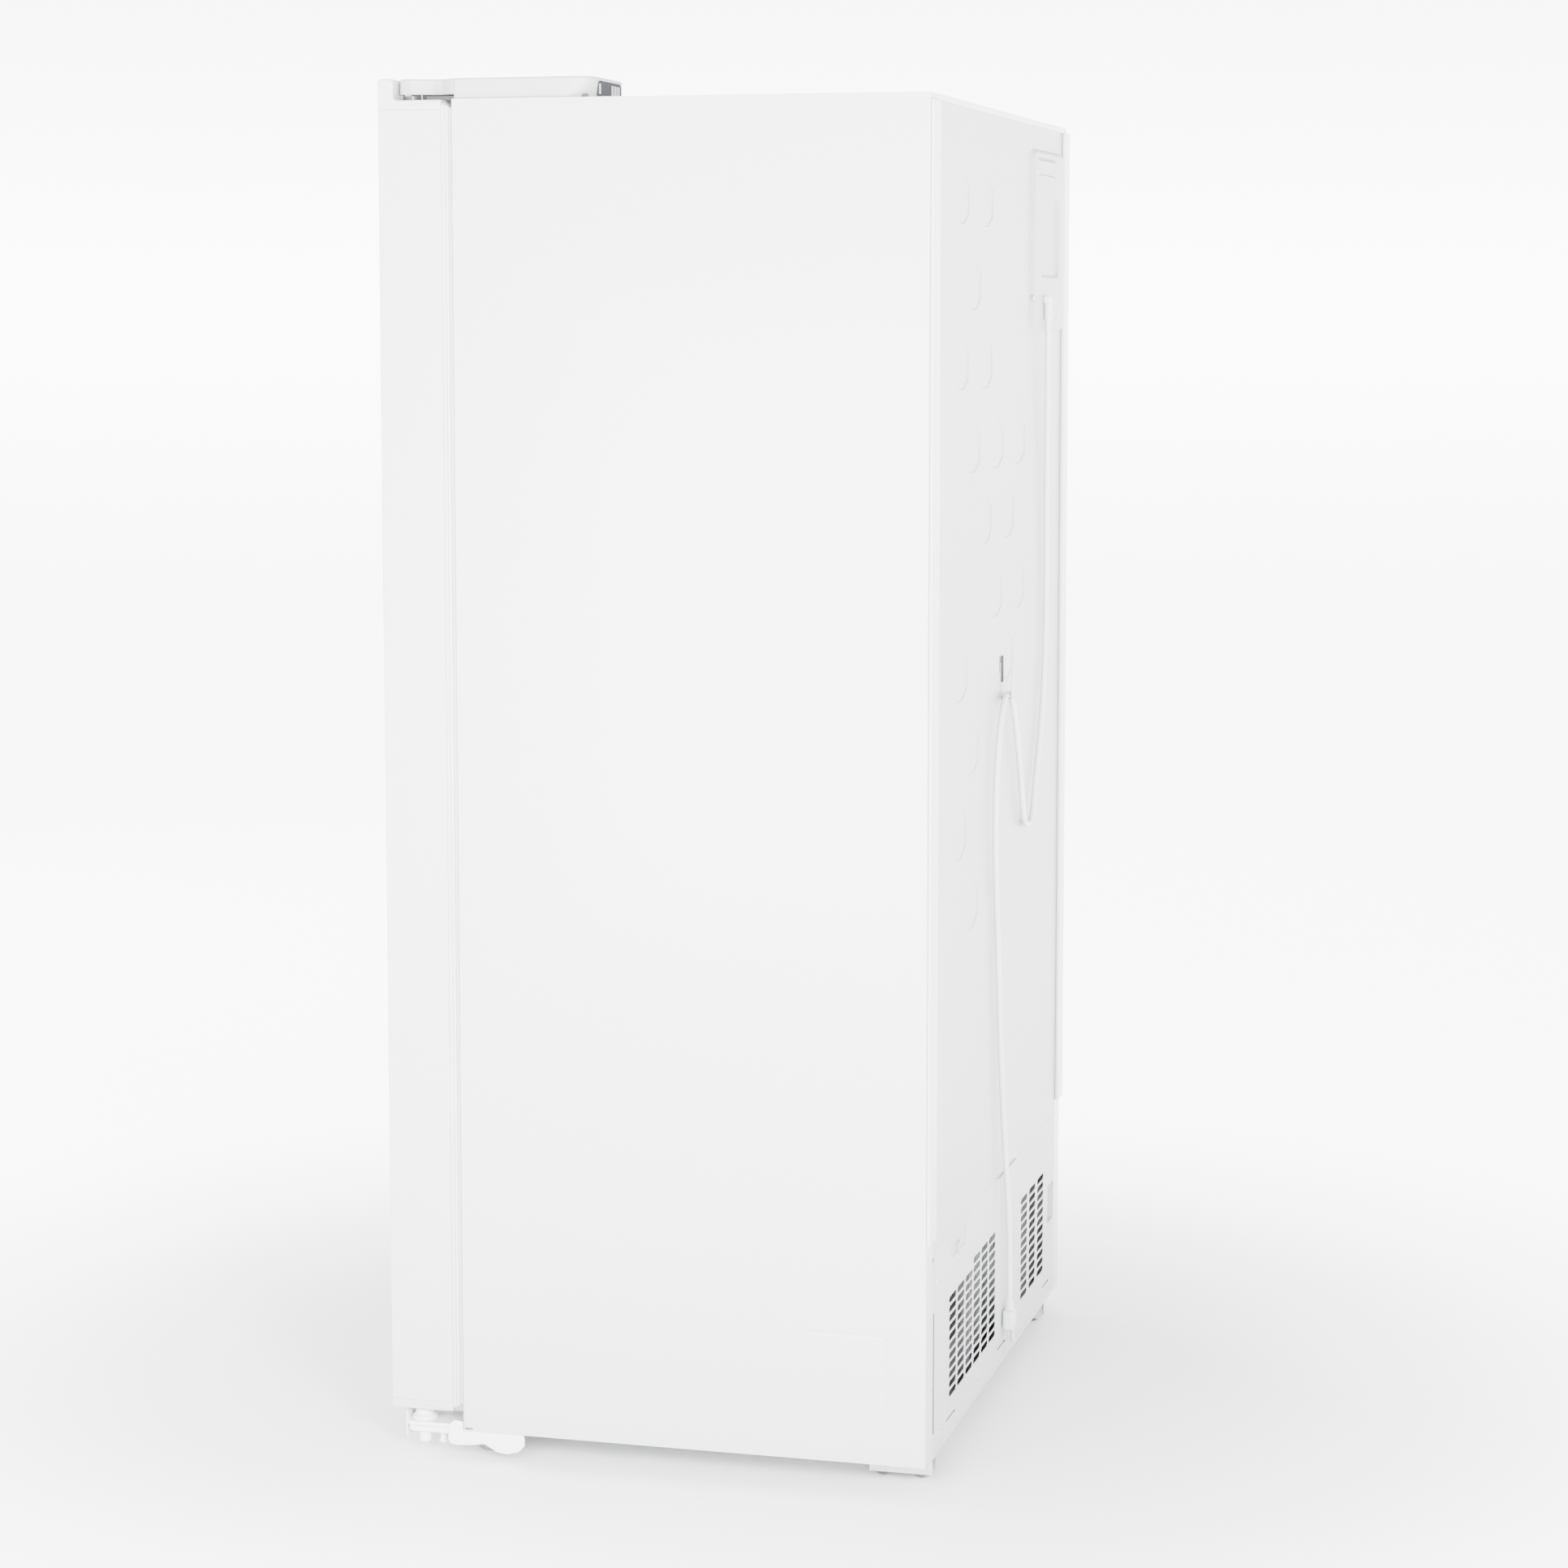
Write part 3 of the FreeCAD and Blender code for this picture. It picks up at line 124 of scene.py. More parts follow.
# The cord's route from its gland to the plug.
CORD_ROUTE = (
    (-0.2630, 0.3635, 1.4690),
    (-0.2660, 0.3630, 1.4120),
    (-0.2710, 0.3620, 1.3530),
    (-0.2770, 0.3605, 1.2930),
    (-0.2825, 0.3595, 1.2320),
    (-0.2870, 0.3590, 1.1710),
    (-0.2885, 0.3590, 1.1100),
    (-0.2870, 0.3590, 1.0490),
    (-0.2810, 0.3590, 0.9890),
    (-0.2680, 0.3590, 0.9310),
    (-0.2440, 0.3592, 0.8770),
    (-0.2140, 0.3596, 0.8260),
    (-0.1900, 0.3600, 0.7710),
    (-0.1310, 0.3604, 0.7690),
    (-0.1080, 0.3606, 0.8230),
    (-0.0840, 0.3608, 0.8780),
    (-0.0550, 0.3610, 0.9320),
    (-0.0210, 0.3614, 0.9680),
    (0.0170, 0.3614, 0.9680),
    (0.0480, 0.3610, 0.9340),
    (0.0650, 0.3604, 0.8780),
    (0.0715, 0.3598, 0.8130),
    (0.0660, 0.3594, 0.7480),
    (0.0555, 0.3590, 0.6900),
    (0.0440, 0.3590, 0.6320),
    (0.0350, 0.3590, 0.5730),
    (0.0265, 0.3590, 0.5130),
    (0.0165, 0.3594, 0.4530),
    (0.0065, 0.3602, 0.3950),
    (-0.0030, 0.3616, 0.3370),
    (-0.0130, 0.3632, 0.2810),
    (-0.0205, 0.3642, 0.2280),
    (-0.0240, 0.3646, 0.1760),
    (-0.0250, 0.3646, 0.1270),
)


# ---------------------------------------------------------------- mesh helpers

# Finishes by name, filled by main().
FINISH = {}


def add_piece(name, shell, body, replaced, slot, finish=None, smooth=35):
    """Make a mesh object from a shell's points, in millimetres, and faces, and hang it on its body.

    The finish is the slot's own unless another is named. Edges sharper than smooth degrees stay creased."""
    points, faces = shell
    mesh = bpy.data.meshes.new(name)
    mesh.from_pydata((np.asarray(points, float) * MM).tolist(), [], faces)
    mesh.update()
    obj = bpy.data.objects.new(name, mesh)
    bpy.context.scene.collection.objects.link(obj)
    mesh.materials.append(FINISH[finish or slot])
    mesh.shade_smooth()
    mesh.set_sharp_from_angle(angle=math.radians(smooth))
    normals = obj.modifiers.new("normals", "WEIGHTED_NORMAL")
    normals.keep_sharp = True
    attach(obj, body)
    if replaced:
        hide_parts(*replaced)
    return obj


def merge(*shells):
    """Join several (points, faces) shells into one."""
    points, faces, start = [], [], 0
    for shell_points, shell_faces in shells:
        shell_points = np.asarray(shell_points, float)
        points.append(shell_points)
        faces.extend([tuple(np.asarray(face) + start) for face in shell_faces])
        start += len(shell_points)
    return np.concatenate(points), faces


def grid_faces(rows, columns, close_rows=False, close_columns=False):
    """Quads of a grid whose point (r, c) is number r * columns + c."""
    r = np.arange(rows if close_rows else rows - 1)
    c = np.arange(columns if close_columns else columns - 1)
    r, c = (axis.ravel() for axis in np.meshgrid(r, c, indexing="ij"))
    r2, c2 = (r + 1) % rows, (c + 1) % columns
    quads = np.stack([r * columns + c, r * columns + c2, r2 * columns + c2, r2 * columns + c], 1)
    return [tuple(quad) for quad in quads.tolist()]


def end_faces(rows, columns):
    """The two end polygons of a grid of closed rings."""
    return [tuple(range(columns))[::-1], tuple(range((rows - 1) * columns, rows * columns))]


def reworked(points, edges, faces, change):
    """Put a surface in a mesh, change it with bmesh and read its points and faces back as arrays."""
    mesh = bpy.data.meshes.new("work")
    mesh.from_pydata(np.asarray(points, float).tolist(), edges, faces)
    work = bmesh.new()
    work.from_mesh(mesh)
    change(work)
    work.to_mesh(mesh)
    work.free()
    places = np.empty(len(mesh.vertices) * 3, np.float32)
    mesh.vertices.foreach_get("co", places)
    corners = np.empty(len(mesh.loops), np.int32)
    mesh.loops.foreach_get("vertex_index", corners)
    sizes = np.empty(len(mesh.polygons), np.int32)
    mesh.polygons.foreach_get("loop_total", sizes)
    bpy.data.meshes.remove(mesh)
    faces = [tuple(face.tolist()) for face in np.split(corners, np.cumsum(sizes)[:-1])]
    return places.reshape(-1, 3).astype(float), faces


def weld(work):
    """Drop doubled points, then turn the faces of a closed shell outwards."""
    bmesh.ops.remove_doubles(work, verts=work.verts, dist=1e-4)
    bmesh.ops.recalc_face_normals(work, faces=work.faces)


def fill(work):
    """Fill the face between the outer loop of edges and the inner ones."""
    bmesh.ops.triangle_fill(work, use_beauty=True, edges=work.edges)


def outward(points, faces):
    """A closed shell with its faces outwards and no doubled points."""
    return reworked(points, [], faces, weld)


def rounded(corners, radius, steps=6, closed=True):
    """A polygon with each corner replaced by an arc.

    Point = centre + radius * (cos a, sin a), with the centre on the corner's bisector.
    A radius may be given for each corner; zero keeps the corner sharp."""
    corners = np.asarray(corners, float)
    count = len(corners)
    radii = np.broadcast_to(np.asarray(radius, float), (count,))
    out = []
    for index in range(count):
        here, size = corners[index], radii[index]
        if size <= 0 or (not closed and index in (0, count - 1)):
            out.append(here[None])
            continue
        before, after = corners[index - 1] - here, corners[(index + 1) % count] - here
        before, after = before / np.linalg.norm(before), after / np.linalg.norm(after)
        half = math.acos(float(np.clip(before @ after, -1, 1))) / 2
        middle = (before + after) / np.linalg.norm(before + after)
        centre = here + middle * size / math.sin(half)
        first, last = here + before * size / math.tan(half), here + after * size / math.tan(half)
        start, end = first - centre, last - centre
        sweep = math.atan2(start[0] * end[1] - start[1] * end[0], start @ end)
        a = math.atan2(start[1], start[0]) + np.linspace(0, sweep, steps + 1)
        out.append(centre + size * np.stack([np.cos(a), np.sin(a)], 1))
    return np.concatenate(out)


def rectangle(u, v, radius=0.0, steps=6):
    """An upright rectangle, anticlockwise, with rounded corners."""
    return rounded([(u[0], v[0]), (u[1], v[0]), (u[1], v[1]), (u[0], v[1])], radius, steps)


def outline_normals(outline, closed=True):
    """Outward unit vectors of an anticlockwise outline: the mean of its two edge normals, stretched
    so that an inset keeps every edge at its distance."""
    ahead = np.roll(outline, -1, 0) - outline
    if not closed:
        ahead[-1] = ahead[-2]
    behind = np.roll(ahead, 1, 0)
    if not closed:
        behind[0] = ahead[0]
    ahead = ahead / np.linalg.norm(ahead, axis=1, keepdims=True)
    behind = behind / np.linalg.norm(behind, axis=1, keepdims=True)
    one = np.stack([behind[:, 1], -behind[:, 0]], 1)
    two = np.stack([ahead[:, 1], -ahead[:, 0]], 1)
    total = one + two
    return total / np.maximum(1e-9, (1 + (one * two).sum(1, keepdims=True)))


AXES = {"z": (0, 1, 2), "y": (0, 2, 1), "x": (1, 2, 0)}


def stack(outline, levels, axis="z", caps=(True, True), closed_levels=False):
    """Carry an outline along an axis: at each level it is drawn in by the level's inset.

    Point (u, l) = outline(u) - inset(l) * normal(u), raised to height(l)."""
    outline = np.asarray(outline, float)
    normals = outline_normals(outline)
    levels = np.asarray(levels, float)
    flat = outline[None] - levels[:, :1, None] * normals[None]
    count = len(outline)
    points = np.zeros((len(levels), count, 3))
    first, second, third = AXES[axis]
    points[..., first], points[..., second] = flat[..., 0], flat[..., 1]
    points[..., third] = levels[:, 1:2]
    faces = grid_faces(len(levels), count, close_rows=closed_levels, close_columns=True)
    if not closed_levels:
        faces += [end for end, wanted in zip(end_faces(len(levels), count), caps) if wanted]
    return outward(points.reshape(-1, 3), faces)


def edge_levels(low, high, low_radius, high_radius, steps=4):
    """Levels of a block whose lower and upper edges are quarter circles."""
    a = np.linspace(0, math.pi / 2, steps + 1)
    levels = []
    if low_radius > 0:
        levels += [(low_radius * (1 - math.sin(x)), low + low_radius * (1 - math.cos(x))) for x in a]
    else:
        levels.append((0, low))
    if high_radius > 0:
        levels += [(high_radius * (1 - math.cos(x)), high - high_radius * (1 - math.sin(x))) for x in a]
    else:
        levels.append((0, high))
    return levels


def block(x, y, z, radius=1.0, axis="z", plan=None, steps=3):
    """A block with rounded edges on every side."""
    spans = (x, y, z)
    first, second, third = AXES[axis]
    outline = rectangle(spans[first], spans[second], radius if plan is None else plan, steps)
    return stack(outline, edge_levels(*spans[third], radius, radius, steps), axis)


def bar(outline, low, high, axis="z"):
    """A straight length of one section."""
    return stack(outline, [(0, low), (0, high)], axis)


def tray_levels(low, high, wall, foot=6.0, rim=0.9, steps=4):
    """Levels that run up the outside of a tray, over its rim and down the inside."""
    a = np.linspace(0, math.pi / 2, steps + 1)
    levels = [(foot * (1 - math.sin(x)), low + foot * (1 - math.cos(x))) for x in a]
    levels += [(wall / 2 - wall / 2 * math.cos(x), high - rim + rim * math.sin(x)) for x in np.linspace(0, math.pi, 7)]
    inner = max(foot - wall, 0.5)
    levels += [(wall + inner * (1 - math.cos(x)), low + wall + inner * (1 - math.sin(x))) for x in a]
    return levels


def turned(profile, centre, axis="z", count=32):
    """Turn a profile of (radius, height) pairs round an axis through the centre.

    Point (a, p) = centre + radius(p) * (cos a, sin a) across the axis + height(p) along it."""
    profile = np.asarray(profile, float)
    a = np.linspace(0, 2 * math.pi, count, endpoint=False)
    first, second, third = AXES[axis]
    points = np.zeros((len(profile), count, 3))
    points[..., first] = centre[first] + profile[:, :1] * np.cos(a)
    points[..., second] = centre[second] + profile[:, :1] * np.sin(a)
    points[..., third] = centre[third] + profile[:, 1:2]
    faces = grid_faces(len(profile), count, close_columns=True)
    faces += end_faces(len(profile), count)
    return outward(points.reshape(-1, 3), faces)


def smooth_step(value, start, end):
    """0 before start, 1 after end and 3t^2 - 2t^3 between."""
    t = np.clip((value - start) / (end - start), 0, 1)
    return t * t * (3 - 2 * t)


def relief(x_lines, z_lines, height, back, keep=None):
    """A sheet in the XZ plane whose rear face is at y = height(x, z) and front face at y = back.

    keep(x, z) is true for the cells that stay; the edges round the openings are closed."""
    x, z = np.meshgrid(x_lines, z_lines, indexing="ij")
    rows, columns = x.shape
    rear = np.stack([x, height(x, z), z], -1).reshape(-1, 3)
    front = np.stack([x, np.full_like(x, back), z], -1).reshape(-1, 3)
    middle_x = (x[1:, 1:] + x[:-1, :-1]) / 2
    middle_z = (z[1:, 1:] + z[:-1, :-1]) / 2
    stays = np.ones_like(middle_x, bool) if keep is None else keep(middle_x, middle_z)
    total = rows * columns
    quads = np.array(grid_faces(rows, columns)).reshape(rows - 1, columns - 1, 4)
    faces = [tuple(quad) for quad in quads[stays][:, ::-1].tolist()]
    faces += [tuple(quad) for quad in (quads[stays] + total).tolist()]
    padded = np.pad(stays, 1)
    low_x, high_x = padded[:-2, 1:-1], padded[2:, 1:-1]
    low_z, high_z = padded[1:-1, :-2], padded[1:-1, 2:]
    for start, end, beside in ((0, 1, low_x), (1, 2, high_z), (2, 3, high_x), (3, 0, low_z)):
        rim = stays & ~beside
        a, b = quads[rim][:, start], quads[rim][:, end]
        faces += [tuple(quad) for quad in np.stack([a, b, b + total, a + total], 1).tolist()]
    return outward(np.concatenate([rear, front]), faces)


# ---------------------------------------------------------------- shader helpers

class Value:
    """A number socket that adds Math nodes when it is used in an expression."""

    def __init__(self, graph, socket):
        self.graph = graph
        self.socket = socket

    def math(self, operation, *others):
        """Join this value and others with one Math node."""
        inputs = {index: other for index, other in enumerate((self, *others))}
        return self.graph.node("ShaderNodeMath", inputs, operation=operation)

    def __add__(self, other):
        return self.math("ADD", other)

    __radd__ = __add__

    def __mul__(self, other):
        return self.math("MULTIPLY", other)

    __rmul__ = __mul__

    def __sub__(self, other):
        return self.math("SUBTRACT", other)

    def __rsub__(self, other):
        return self.graph.node("ShaderNodeMath", {0: other, 1: self}, operation="SUBTRACT")


class Graph:
    """The node tree of one material, or of the world."""

    def __init__(self, name, world=False):
        self.material = (bpy.data.worlds if world else bpy.data.materials).new(name)
        self.material.use_nodes = True
        self.tree = self.material.node_tree
        self.shader = self.tree.nodes["Background" if world else "Principled BSDF"]
        self.place = self.node("ShaderNodeTexCoord", {}, "Generated" if world else "Object")

    def connect(self, socket, value):
        """Link a value, or set a number or colour."""
        if isinstance(value, Value):
            self.tree.links.new(value.socket, socket)
        else:
            socket.default_value = value

    def node(self, kind, inputs, output=0, **settings):
        """Add one node: its settings first, then its sockets."""
        item = self.tree.nodes.new(kind)
        for name, value in settings.items():
            setattr(item, name, value)
        for key, value in inputs.items():
            self.connect(item.inputs[key], value)
        return Value(self, item.outputs[output])

    def noise(self, scale, detail=3.0, roughness=0.5):
        """Soft noise over the piece, from 0 to 1."""
        return self.node("ShaderNodeTexNoise", {"Vector": self.place, "Scale": scale, "Detail": detail,
                                                "Roughness": roughness})

    def cells(self, scale):
        """Distance to the nearest of scattered points."""
        return self.node("ShaderNodeTexVoronoi", {"Vector": self.place, "Scale": scale})

    def tint(self, low, high, factor):
        """Blend two colours by a factor; the Mix node's colour sockets are 6 and 7, and its output 2."""
        return self.node("ShaderNodeMix", {0: factor, 6: (*low, 1), 7: (*high, 1)}, 2, data_type="RGBA")

    def set(self, **values):
        """Set or link sockets of the shader, named with underscores for spaces."""
        for name, value in values.items():
            self.connect(self.shader.inputs[name.replace("_", " ")], value)

    def bump(self, height, distance, strength=0.5):
        """Relief from a height value, to the Normal socket."""
        normal = self.node("ShaderNodeBump", {"Height": height, "Distance": distance, "Strength": strength})
        self.connect(self.shader.inputs["Normal"], normal)


def shade(colour, amount):
    """The colour made lighter or darker by a share."""
    return tuple(min(1.0, channel * (1 + amount)) for channel in colour)


def painted(name, colour, roughness=0.34, peel=0.00006, coat=0.25):
    """Baked enamel: faint orange peel, soft gloss changes and a clear coat."""
    g = Graph(name)
    drift = g.noise(3.0, 2.0)
    peel_height = g.noise(420.0, 2.0)
    g.set(Base_Color=g.tint(shade(colour, -0.012), shade(colour, 0.012), drift),
          Roughness=drift * 0.06 + (roughness - 0.03), Coat_Weight=coat, Coat_Roughness=0.12, IOR=1.5)
    g.bump(peel_height, peel, 0.35)
    return g.material


def moulded(name, colour, roughness=0.5, grain=700.0, depth=0.00005, gloss=0.5):
    """Moulded plastic with a fine spark-eroded grain."""
    g = Graph(name)
    drift = g.noise(9.0, 3.0)
    texture = g.cells(grain)
    g.set(Base_Color=g.tint(shade(colour, -0.03), shade(colour, 0.02), drift),
          Roughness=drift * 0.1 + (roughness - 0.05), IOR=1.46, Specular_IOR_Level=gloss)
    g.bump(texture + g.noise(grain * 0.6), depth, 0.4)
    return g.material


def clear(name, colour, roughness=0.04, transmission=0.9):
    """Clear plastic or glass with faint streaks in its gloss."""
    g = Graph(name)
    drift = g.noise(6.0, 2.0)
    g.set(Base_Color=g.tint(shade(colour, -0.02), shade(colour, 0.02), drift),
          Roughness=drift * 0.05 + roughness, Transmission_Weight=transmission, IOR=1.49)
    return g.material


def zinc(name, colour):
    """Zinc-plated steel: patches of spangle in colour and roughness."""
    g = Graph(name)
    spangle = g.cells(120.0)
    drift = g.noise(14.0, 4.0)
    g.set(Base_Color=g.tint(shade(colour, -0.12), shade(colour, 0.1), spangle),
          Roughness=drift * 0.18 + spangle * 0.1 + 0.24, Metallic=1.0)
    g.bump(g.noise(260.0), 0.00004, 0.3)
    return g.material


def brushed(name, colour):
    """Rolled aluminium with fine lines along its length."""
    g = Graph(name)
    stretch = g.node("ShaderNodeMapping", {"Vector": g.place, "Scale": (8.0, 8.0, 900.0)})
    lines = g.node("ShaderNodeTexNoise", {"Vector": stretch, "Scale": 1.0, "Detail": 2.0})
    g.set(Base_Color=g.tint(shade(colour, -0.08), shade(colour, 0.06), lines),
          Roughness=lines * 0.2 + 0.26, Metallic=1.0)
    g.bump(lines, 0.00003, 0.3)
    return g.material


def rubber(name, colour):
    """Soft rubber with a dusty bloom."""
    g = Graph(name)
    bloom = g.noise(30.0, 4.0)
    g.set(Base_Color=g.tint(colour, shade(colour, 0.16), bloom), Roughness=bloom * 0.15 + 0.6,
          IOR=1.5)
    g.bump(g.noise(900.0), 0.00004, 0.4)
    return g.material


def foam(name, colour):
    """Expanded foam with open cells."""
    g = Graph(name)
    bubbles = g.cells(260.0)
    g.set(Base_Color=g.tint(shade(colour, -0.14), colour, bubbles), Roughness=0.9)
    g.bump(bubbles, 0.0004, 0.7)
    return g.material


def laminate(name, colour):
    """Circuit board: glass weave under a green mask."""
    g = Graph(name)
    weave = g.cells(900.0)
    g.set(Base_Color=g.tint(shade(colour, -0.2), shade(colour, 0.25), weave), Roughness=0.42,
          Coat_Weight=0.4)
    g.bump(weave, 0.00003, 0.3)
    return g.material


def make_finishes(scene):
    """Every finish of the object, by its slot name."""
    case, cord = scene.fridge_case, scene.fridge_cord
    paint, rear = tuple(case.paint), tuple(case.rear_paint)
    return {
        "case_paint": painted("case_paint", paint),
        "door_paint": painted("door_paint", paint, 0.3, 0.00005, 0.35),
        # Rear paint: the case paint drawn darker, painted shade on the rear face.
        "rear_paint": painted("rear_paint", rear, 0.42, 0.00007, 0.1),
        "zinc_steel": zinc("zinc_steel", (0.62, 0.63, 0.64)),
        "foam": foam("foam", (0.78, 0.72, 0.55)),
        "liner_plastic": moulded("liner_plastic", (0.82, 0.83, 0.83), 0.28, 300.0, 0.00002),
        # Door lining plastic: the liner plastic drawn darker, painted shade for the strip seen in the gap at the door
        # edge.
        "lining_plastic_painted_shade": moulded("lining_plastic_painted_shade", (0.54, 0.546, 0.546), 0.3, 300.0, 0.00002),
        # One cover plastic in two tones: darker on the top hinge covers as painted shade, lighter on the toe cover and
        # bottom hinges as painted light.
        "cover_plastic": moulded("cover_plastic", (0.40, 0.405, 0.405), 0.45),
        "toe_plastic_painted_light": moulded("toe_plastic_painted_light", (0.74, 0.748, 0.748), 0.45),
        "rear_plastic": moulded("rear_plastic", (0.44, 0.445, 0.445), 0.46),
        # Control cover plastic: the rear plastic drawn darker to the rear sheet's tone, painted shade.
        "box_plastic_painted_shade": moulded("box_plastic_painted_shade", (0.37, 0.374, 0.374), 0.42),
        "grip_plastic": moulded("grip_plastic", (0.66, 0.67, 0.68), 0.4),
        "gasket_rubber": rubber("gasket_rubber", (0.17, 0.172, 0.175)),
        "roller_plastic": moulded("roller_plastic", (0.10, 0.10, 0.105), 0.45),
        "foot_plastic": moulded("foot_plastic", (0.22, 0.22, 0.23), 0.5),
        "shelf_glass": clear("shelf_glass", (0.90, 0.97, 0.94), 0.02, 0.95),
        "shelf_plastic": moulded("shelf_plastic", (0.82, 0.83, 0.83), 0.32, 400.0, 0.00002),
        "clear_plastic": clear("clear_plastic", (0.93, 0.96, 0.97), 0.06, 0.85),
        "lamp_plastic": moulded("lamp_plastic", (0.92, 0.92, 0.90), 0.35, 500.0, 0.00003),
        "coil_aluminium": brushed("coil_aluminium", (0.74, 0.75, 0.76)),
        "compressor_shell": painted("compressor_shell", (0.018, 0.018, 0.02), 0.35, 0.00012, 0.2),
        "fan_plastic": moulded("fan_plastic", (0.05, 0.05, 0.055), 0.45),
        # Near-black: painted shade in the side slots, under the hinge covers and behind the cord hook; also the dark
        # end plates of the hinge covers.
        "shade_plastic": moulded("shade_plastic", (0.045, 0.045, 0.05), 0.85, gloss=0.1),
        # Bay steel: zinc steel drawn dark, painted shade inside the machine bay.
        "bay_steel_painted_shade": zinc("bay_steel_painted_shade", (0.20, 0.205, 0.21)),
        "dark_steel": painted("dark_steel", (0.05, 0.05, 0.055), 0.4),
        "pan_plastic": moulded("pan_plastic", (0.12, 0.12, 0.13), 0.5),
        "board_laminate": laminate("board_laminate", (0.03, 0.16, 0.07)),
        "cord_plastic": moulded("cord_plastic", tuple(cord.colour), 0.42, 900.0, 0.00002),
    }


# ---------------------------------------------------------------- case

def side_section(side, radius):
    """Section of a side sheet in X and Y, and which of its points are on the outer wall."""
    low, high, wall_x = CASE_FRONT + SHEET, CASE_REAR, CASE_HALF - SHEET
    arc_steps = 6
    outer = rounded([(436, CASE_FRONT), (CASE_HALF, CASE_FRONT), (CASE_HALF, CASE_REAR + SHEET),
                     (FLANGE_START, CASE_REAR + SHEET)], radius, arc_steps, closed=False)
    inner = rounded([(FLANGE_START, high), (wall_x, high), (wall_x, low), (436, low)], radius - SHEET, arc_steps,
                    closed=False)
    wall_y = np.concatenate([[-257.4, -256.8, -247.2, -246.6], np.linspace(-240, 190, 11),
                             np.arange(196, 309, 1.5), np.linspace(314, 347, 5)])
    wall = np.stack([np.full_like(wall_y, CASE_HALF), wall_y], 1)
    # The wall's own points go in after the free edge and the arc of the front fold.
    split = 1 + arc_steps + 1
    section = np.concatenate([outer[:split], wall, outer[split:], inner])
    on_wall = np.zeros(len(section), bool)
    on_wall[split:split + len(wall)] = True
    return section * [side, 1], on_wall


# Opening of the short slot low at the front of each side.
SLOT_Y, SLOT_Z, SLOT_DEPTH = (-257.0, -247.0), (39.8, 42.2), 3.0


def groove_distance(y, z):
    """Distance to the pressed line: along z = 203, round a 10 mm bend, down y = 302 to z = 109."""
    across = np.hypot(y - np.clip(y, 202, 292), z - 203)
    down = np.hypot(y - 302, z - np.clip(z, 109, 193))
    bend = np.where((y > 292) & (z > 193), np.abs(np.hypot(y - 292, z - 193) - 10), 99.0)
    hook = np.hypot(y - 198, z - 200)
    return np.minimum(np.minimum(across, down), np.minimum(bend, hook))


def side_sheet(side, radius, depth):
    """A folded side sheet: point = section(u) carried up z, drawn in on the outer wall by
    depth * exp(-(distance to the pressed line / 1.6)^2), with a short slot low at the front."""
    section, on_wall = side_section(side, radius)
    z_lines = np.concatenate([[38, 39.6, 40, 42, 42.4, 60, 90], np.arange(103, 212, 1.5),
                              np.linspace(225, CASE_TOP, 12)])
    z = z_lines[:, None] * np.ones(len(section))
    y = np.ones((len(z_lines), 1)) * section[:, 1]
    x = np.ones((len(z_lines), 1)) * section[:, 0]
    dent = depth * np.exp(-(groove_distance(y, z) / 1.6) ** 2) * on_wall
    slot = (y > SLOT_Y[0]) & (y < SLOT_Y[1]) & (z > SLOT_Z[0]) & (z < SLOT_Z[1])
    dent = dent + SLOT_DEPTH * slot * on_wall
    points = np.stack([x - side * dent, y, z], -1)
    count = len(section)
    faces = grid_faces(len(z_lines), count, close_columns=True)
    faces += end_faces(len(z_lines), count)
    return outward(points.reshape(-1, 3), faces)


class FRIDGE_OT_side_panels(bpy.types.Operator):
    """Both side sheets with their folded edges, pressed line, front slot and raised rear seam"""

    bl_idname = "fridge.side_panels"
    bl_label = "Side panels"

    def execute(self, context):
        case = context.scene.fridge_case
        for name, side in (("left", -1), ("right", 1)):
            sheet = side_sheet(side, case.fold_radius / MM, case.groove_depth / MM)
            seam_x = sorted((side * FLANGE_START, side * CASE_HALF))
            seam = block(seam_x, (CASE_REAR + SHEET, 358), (322, 1736), 2.0, "z", 2.2)
            add_piece(f"side_sheet_{name}", merge(sheet, seam), "cabinet", (f"side_panel_{name}",), "case_paint")
        # Dark floors inside the two side slots: painted shade.
        floors = [block(sorted((side * 452.8, side * 453.6)), (SLOT_Y[0] + 0.4, SLOT_Y[1] - 0.4),
                        (SLOT_Z[0] + 0.1, SLOT_Z[1] - 0.1), 0.2, "x", 0.3) for side in (-1, 1)]
        add_piece("side_slot_shades", merge(*floors), "cabinet", (), "fan_plastic", "shade_plastic")
        return {"FINISHED"}


# Columns of pads run from PAD_START towards -x; each row gives its height and its columns.
PAD_COLUMN, PAD_START = 76.0, 271.5
PAD_HALF, PAD_CUT = (47.5, 32.0), (31.0, 14.0)
PAD_ROWS = ((1622, (0, 2)), (1514, (1,)), (1413, (0, 2)), (1306, (1, 3, 5)), (1209, (2, 4)), (1108, (3, 5)),
            (1017, (0, 4)), (915, (1,)), (813, (0,)), (711, (1,)))


def pad_outline(x, z):
    """A flattened octagon round (x, z), 95 wide and 64 high, with its corners cut 31 by 14."""
    (w, h), (cut_x, cut_z) = PAD_HALF, PAD_CUT
    corners = [(x - w + cut_x, z - h), (x + w - cut_x, z - h), (x + w, z - h + cut_z), (x + w, z + h - cut_z),
               (x + w - cut_x, z + h), (x - w + cut_x, z + h), (x - w, z + h - cut_z), (x - w, z - h + cut_z)]
    return rounded(corners, 5.0, 4)


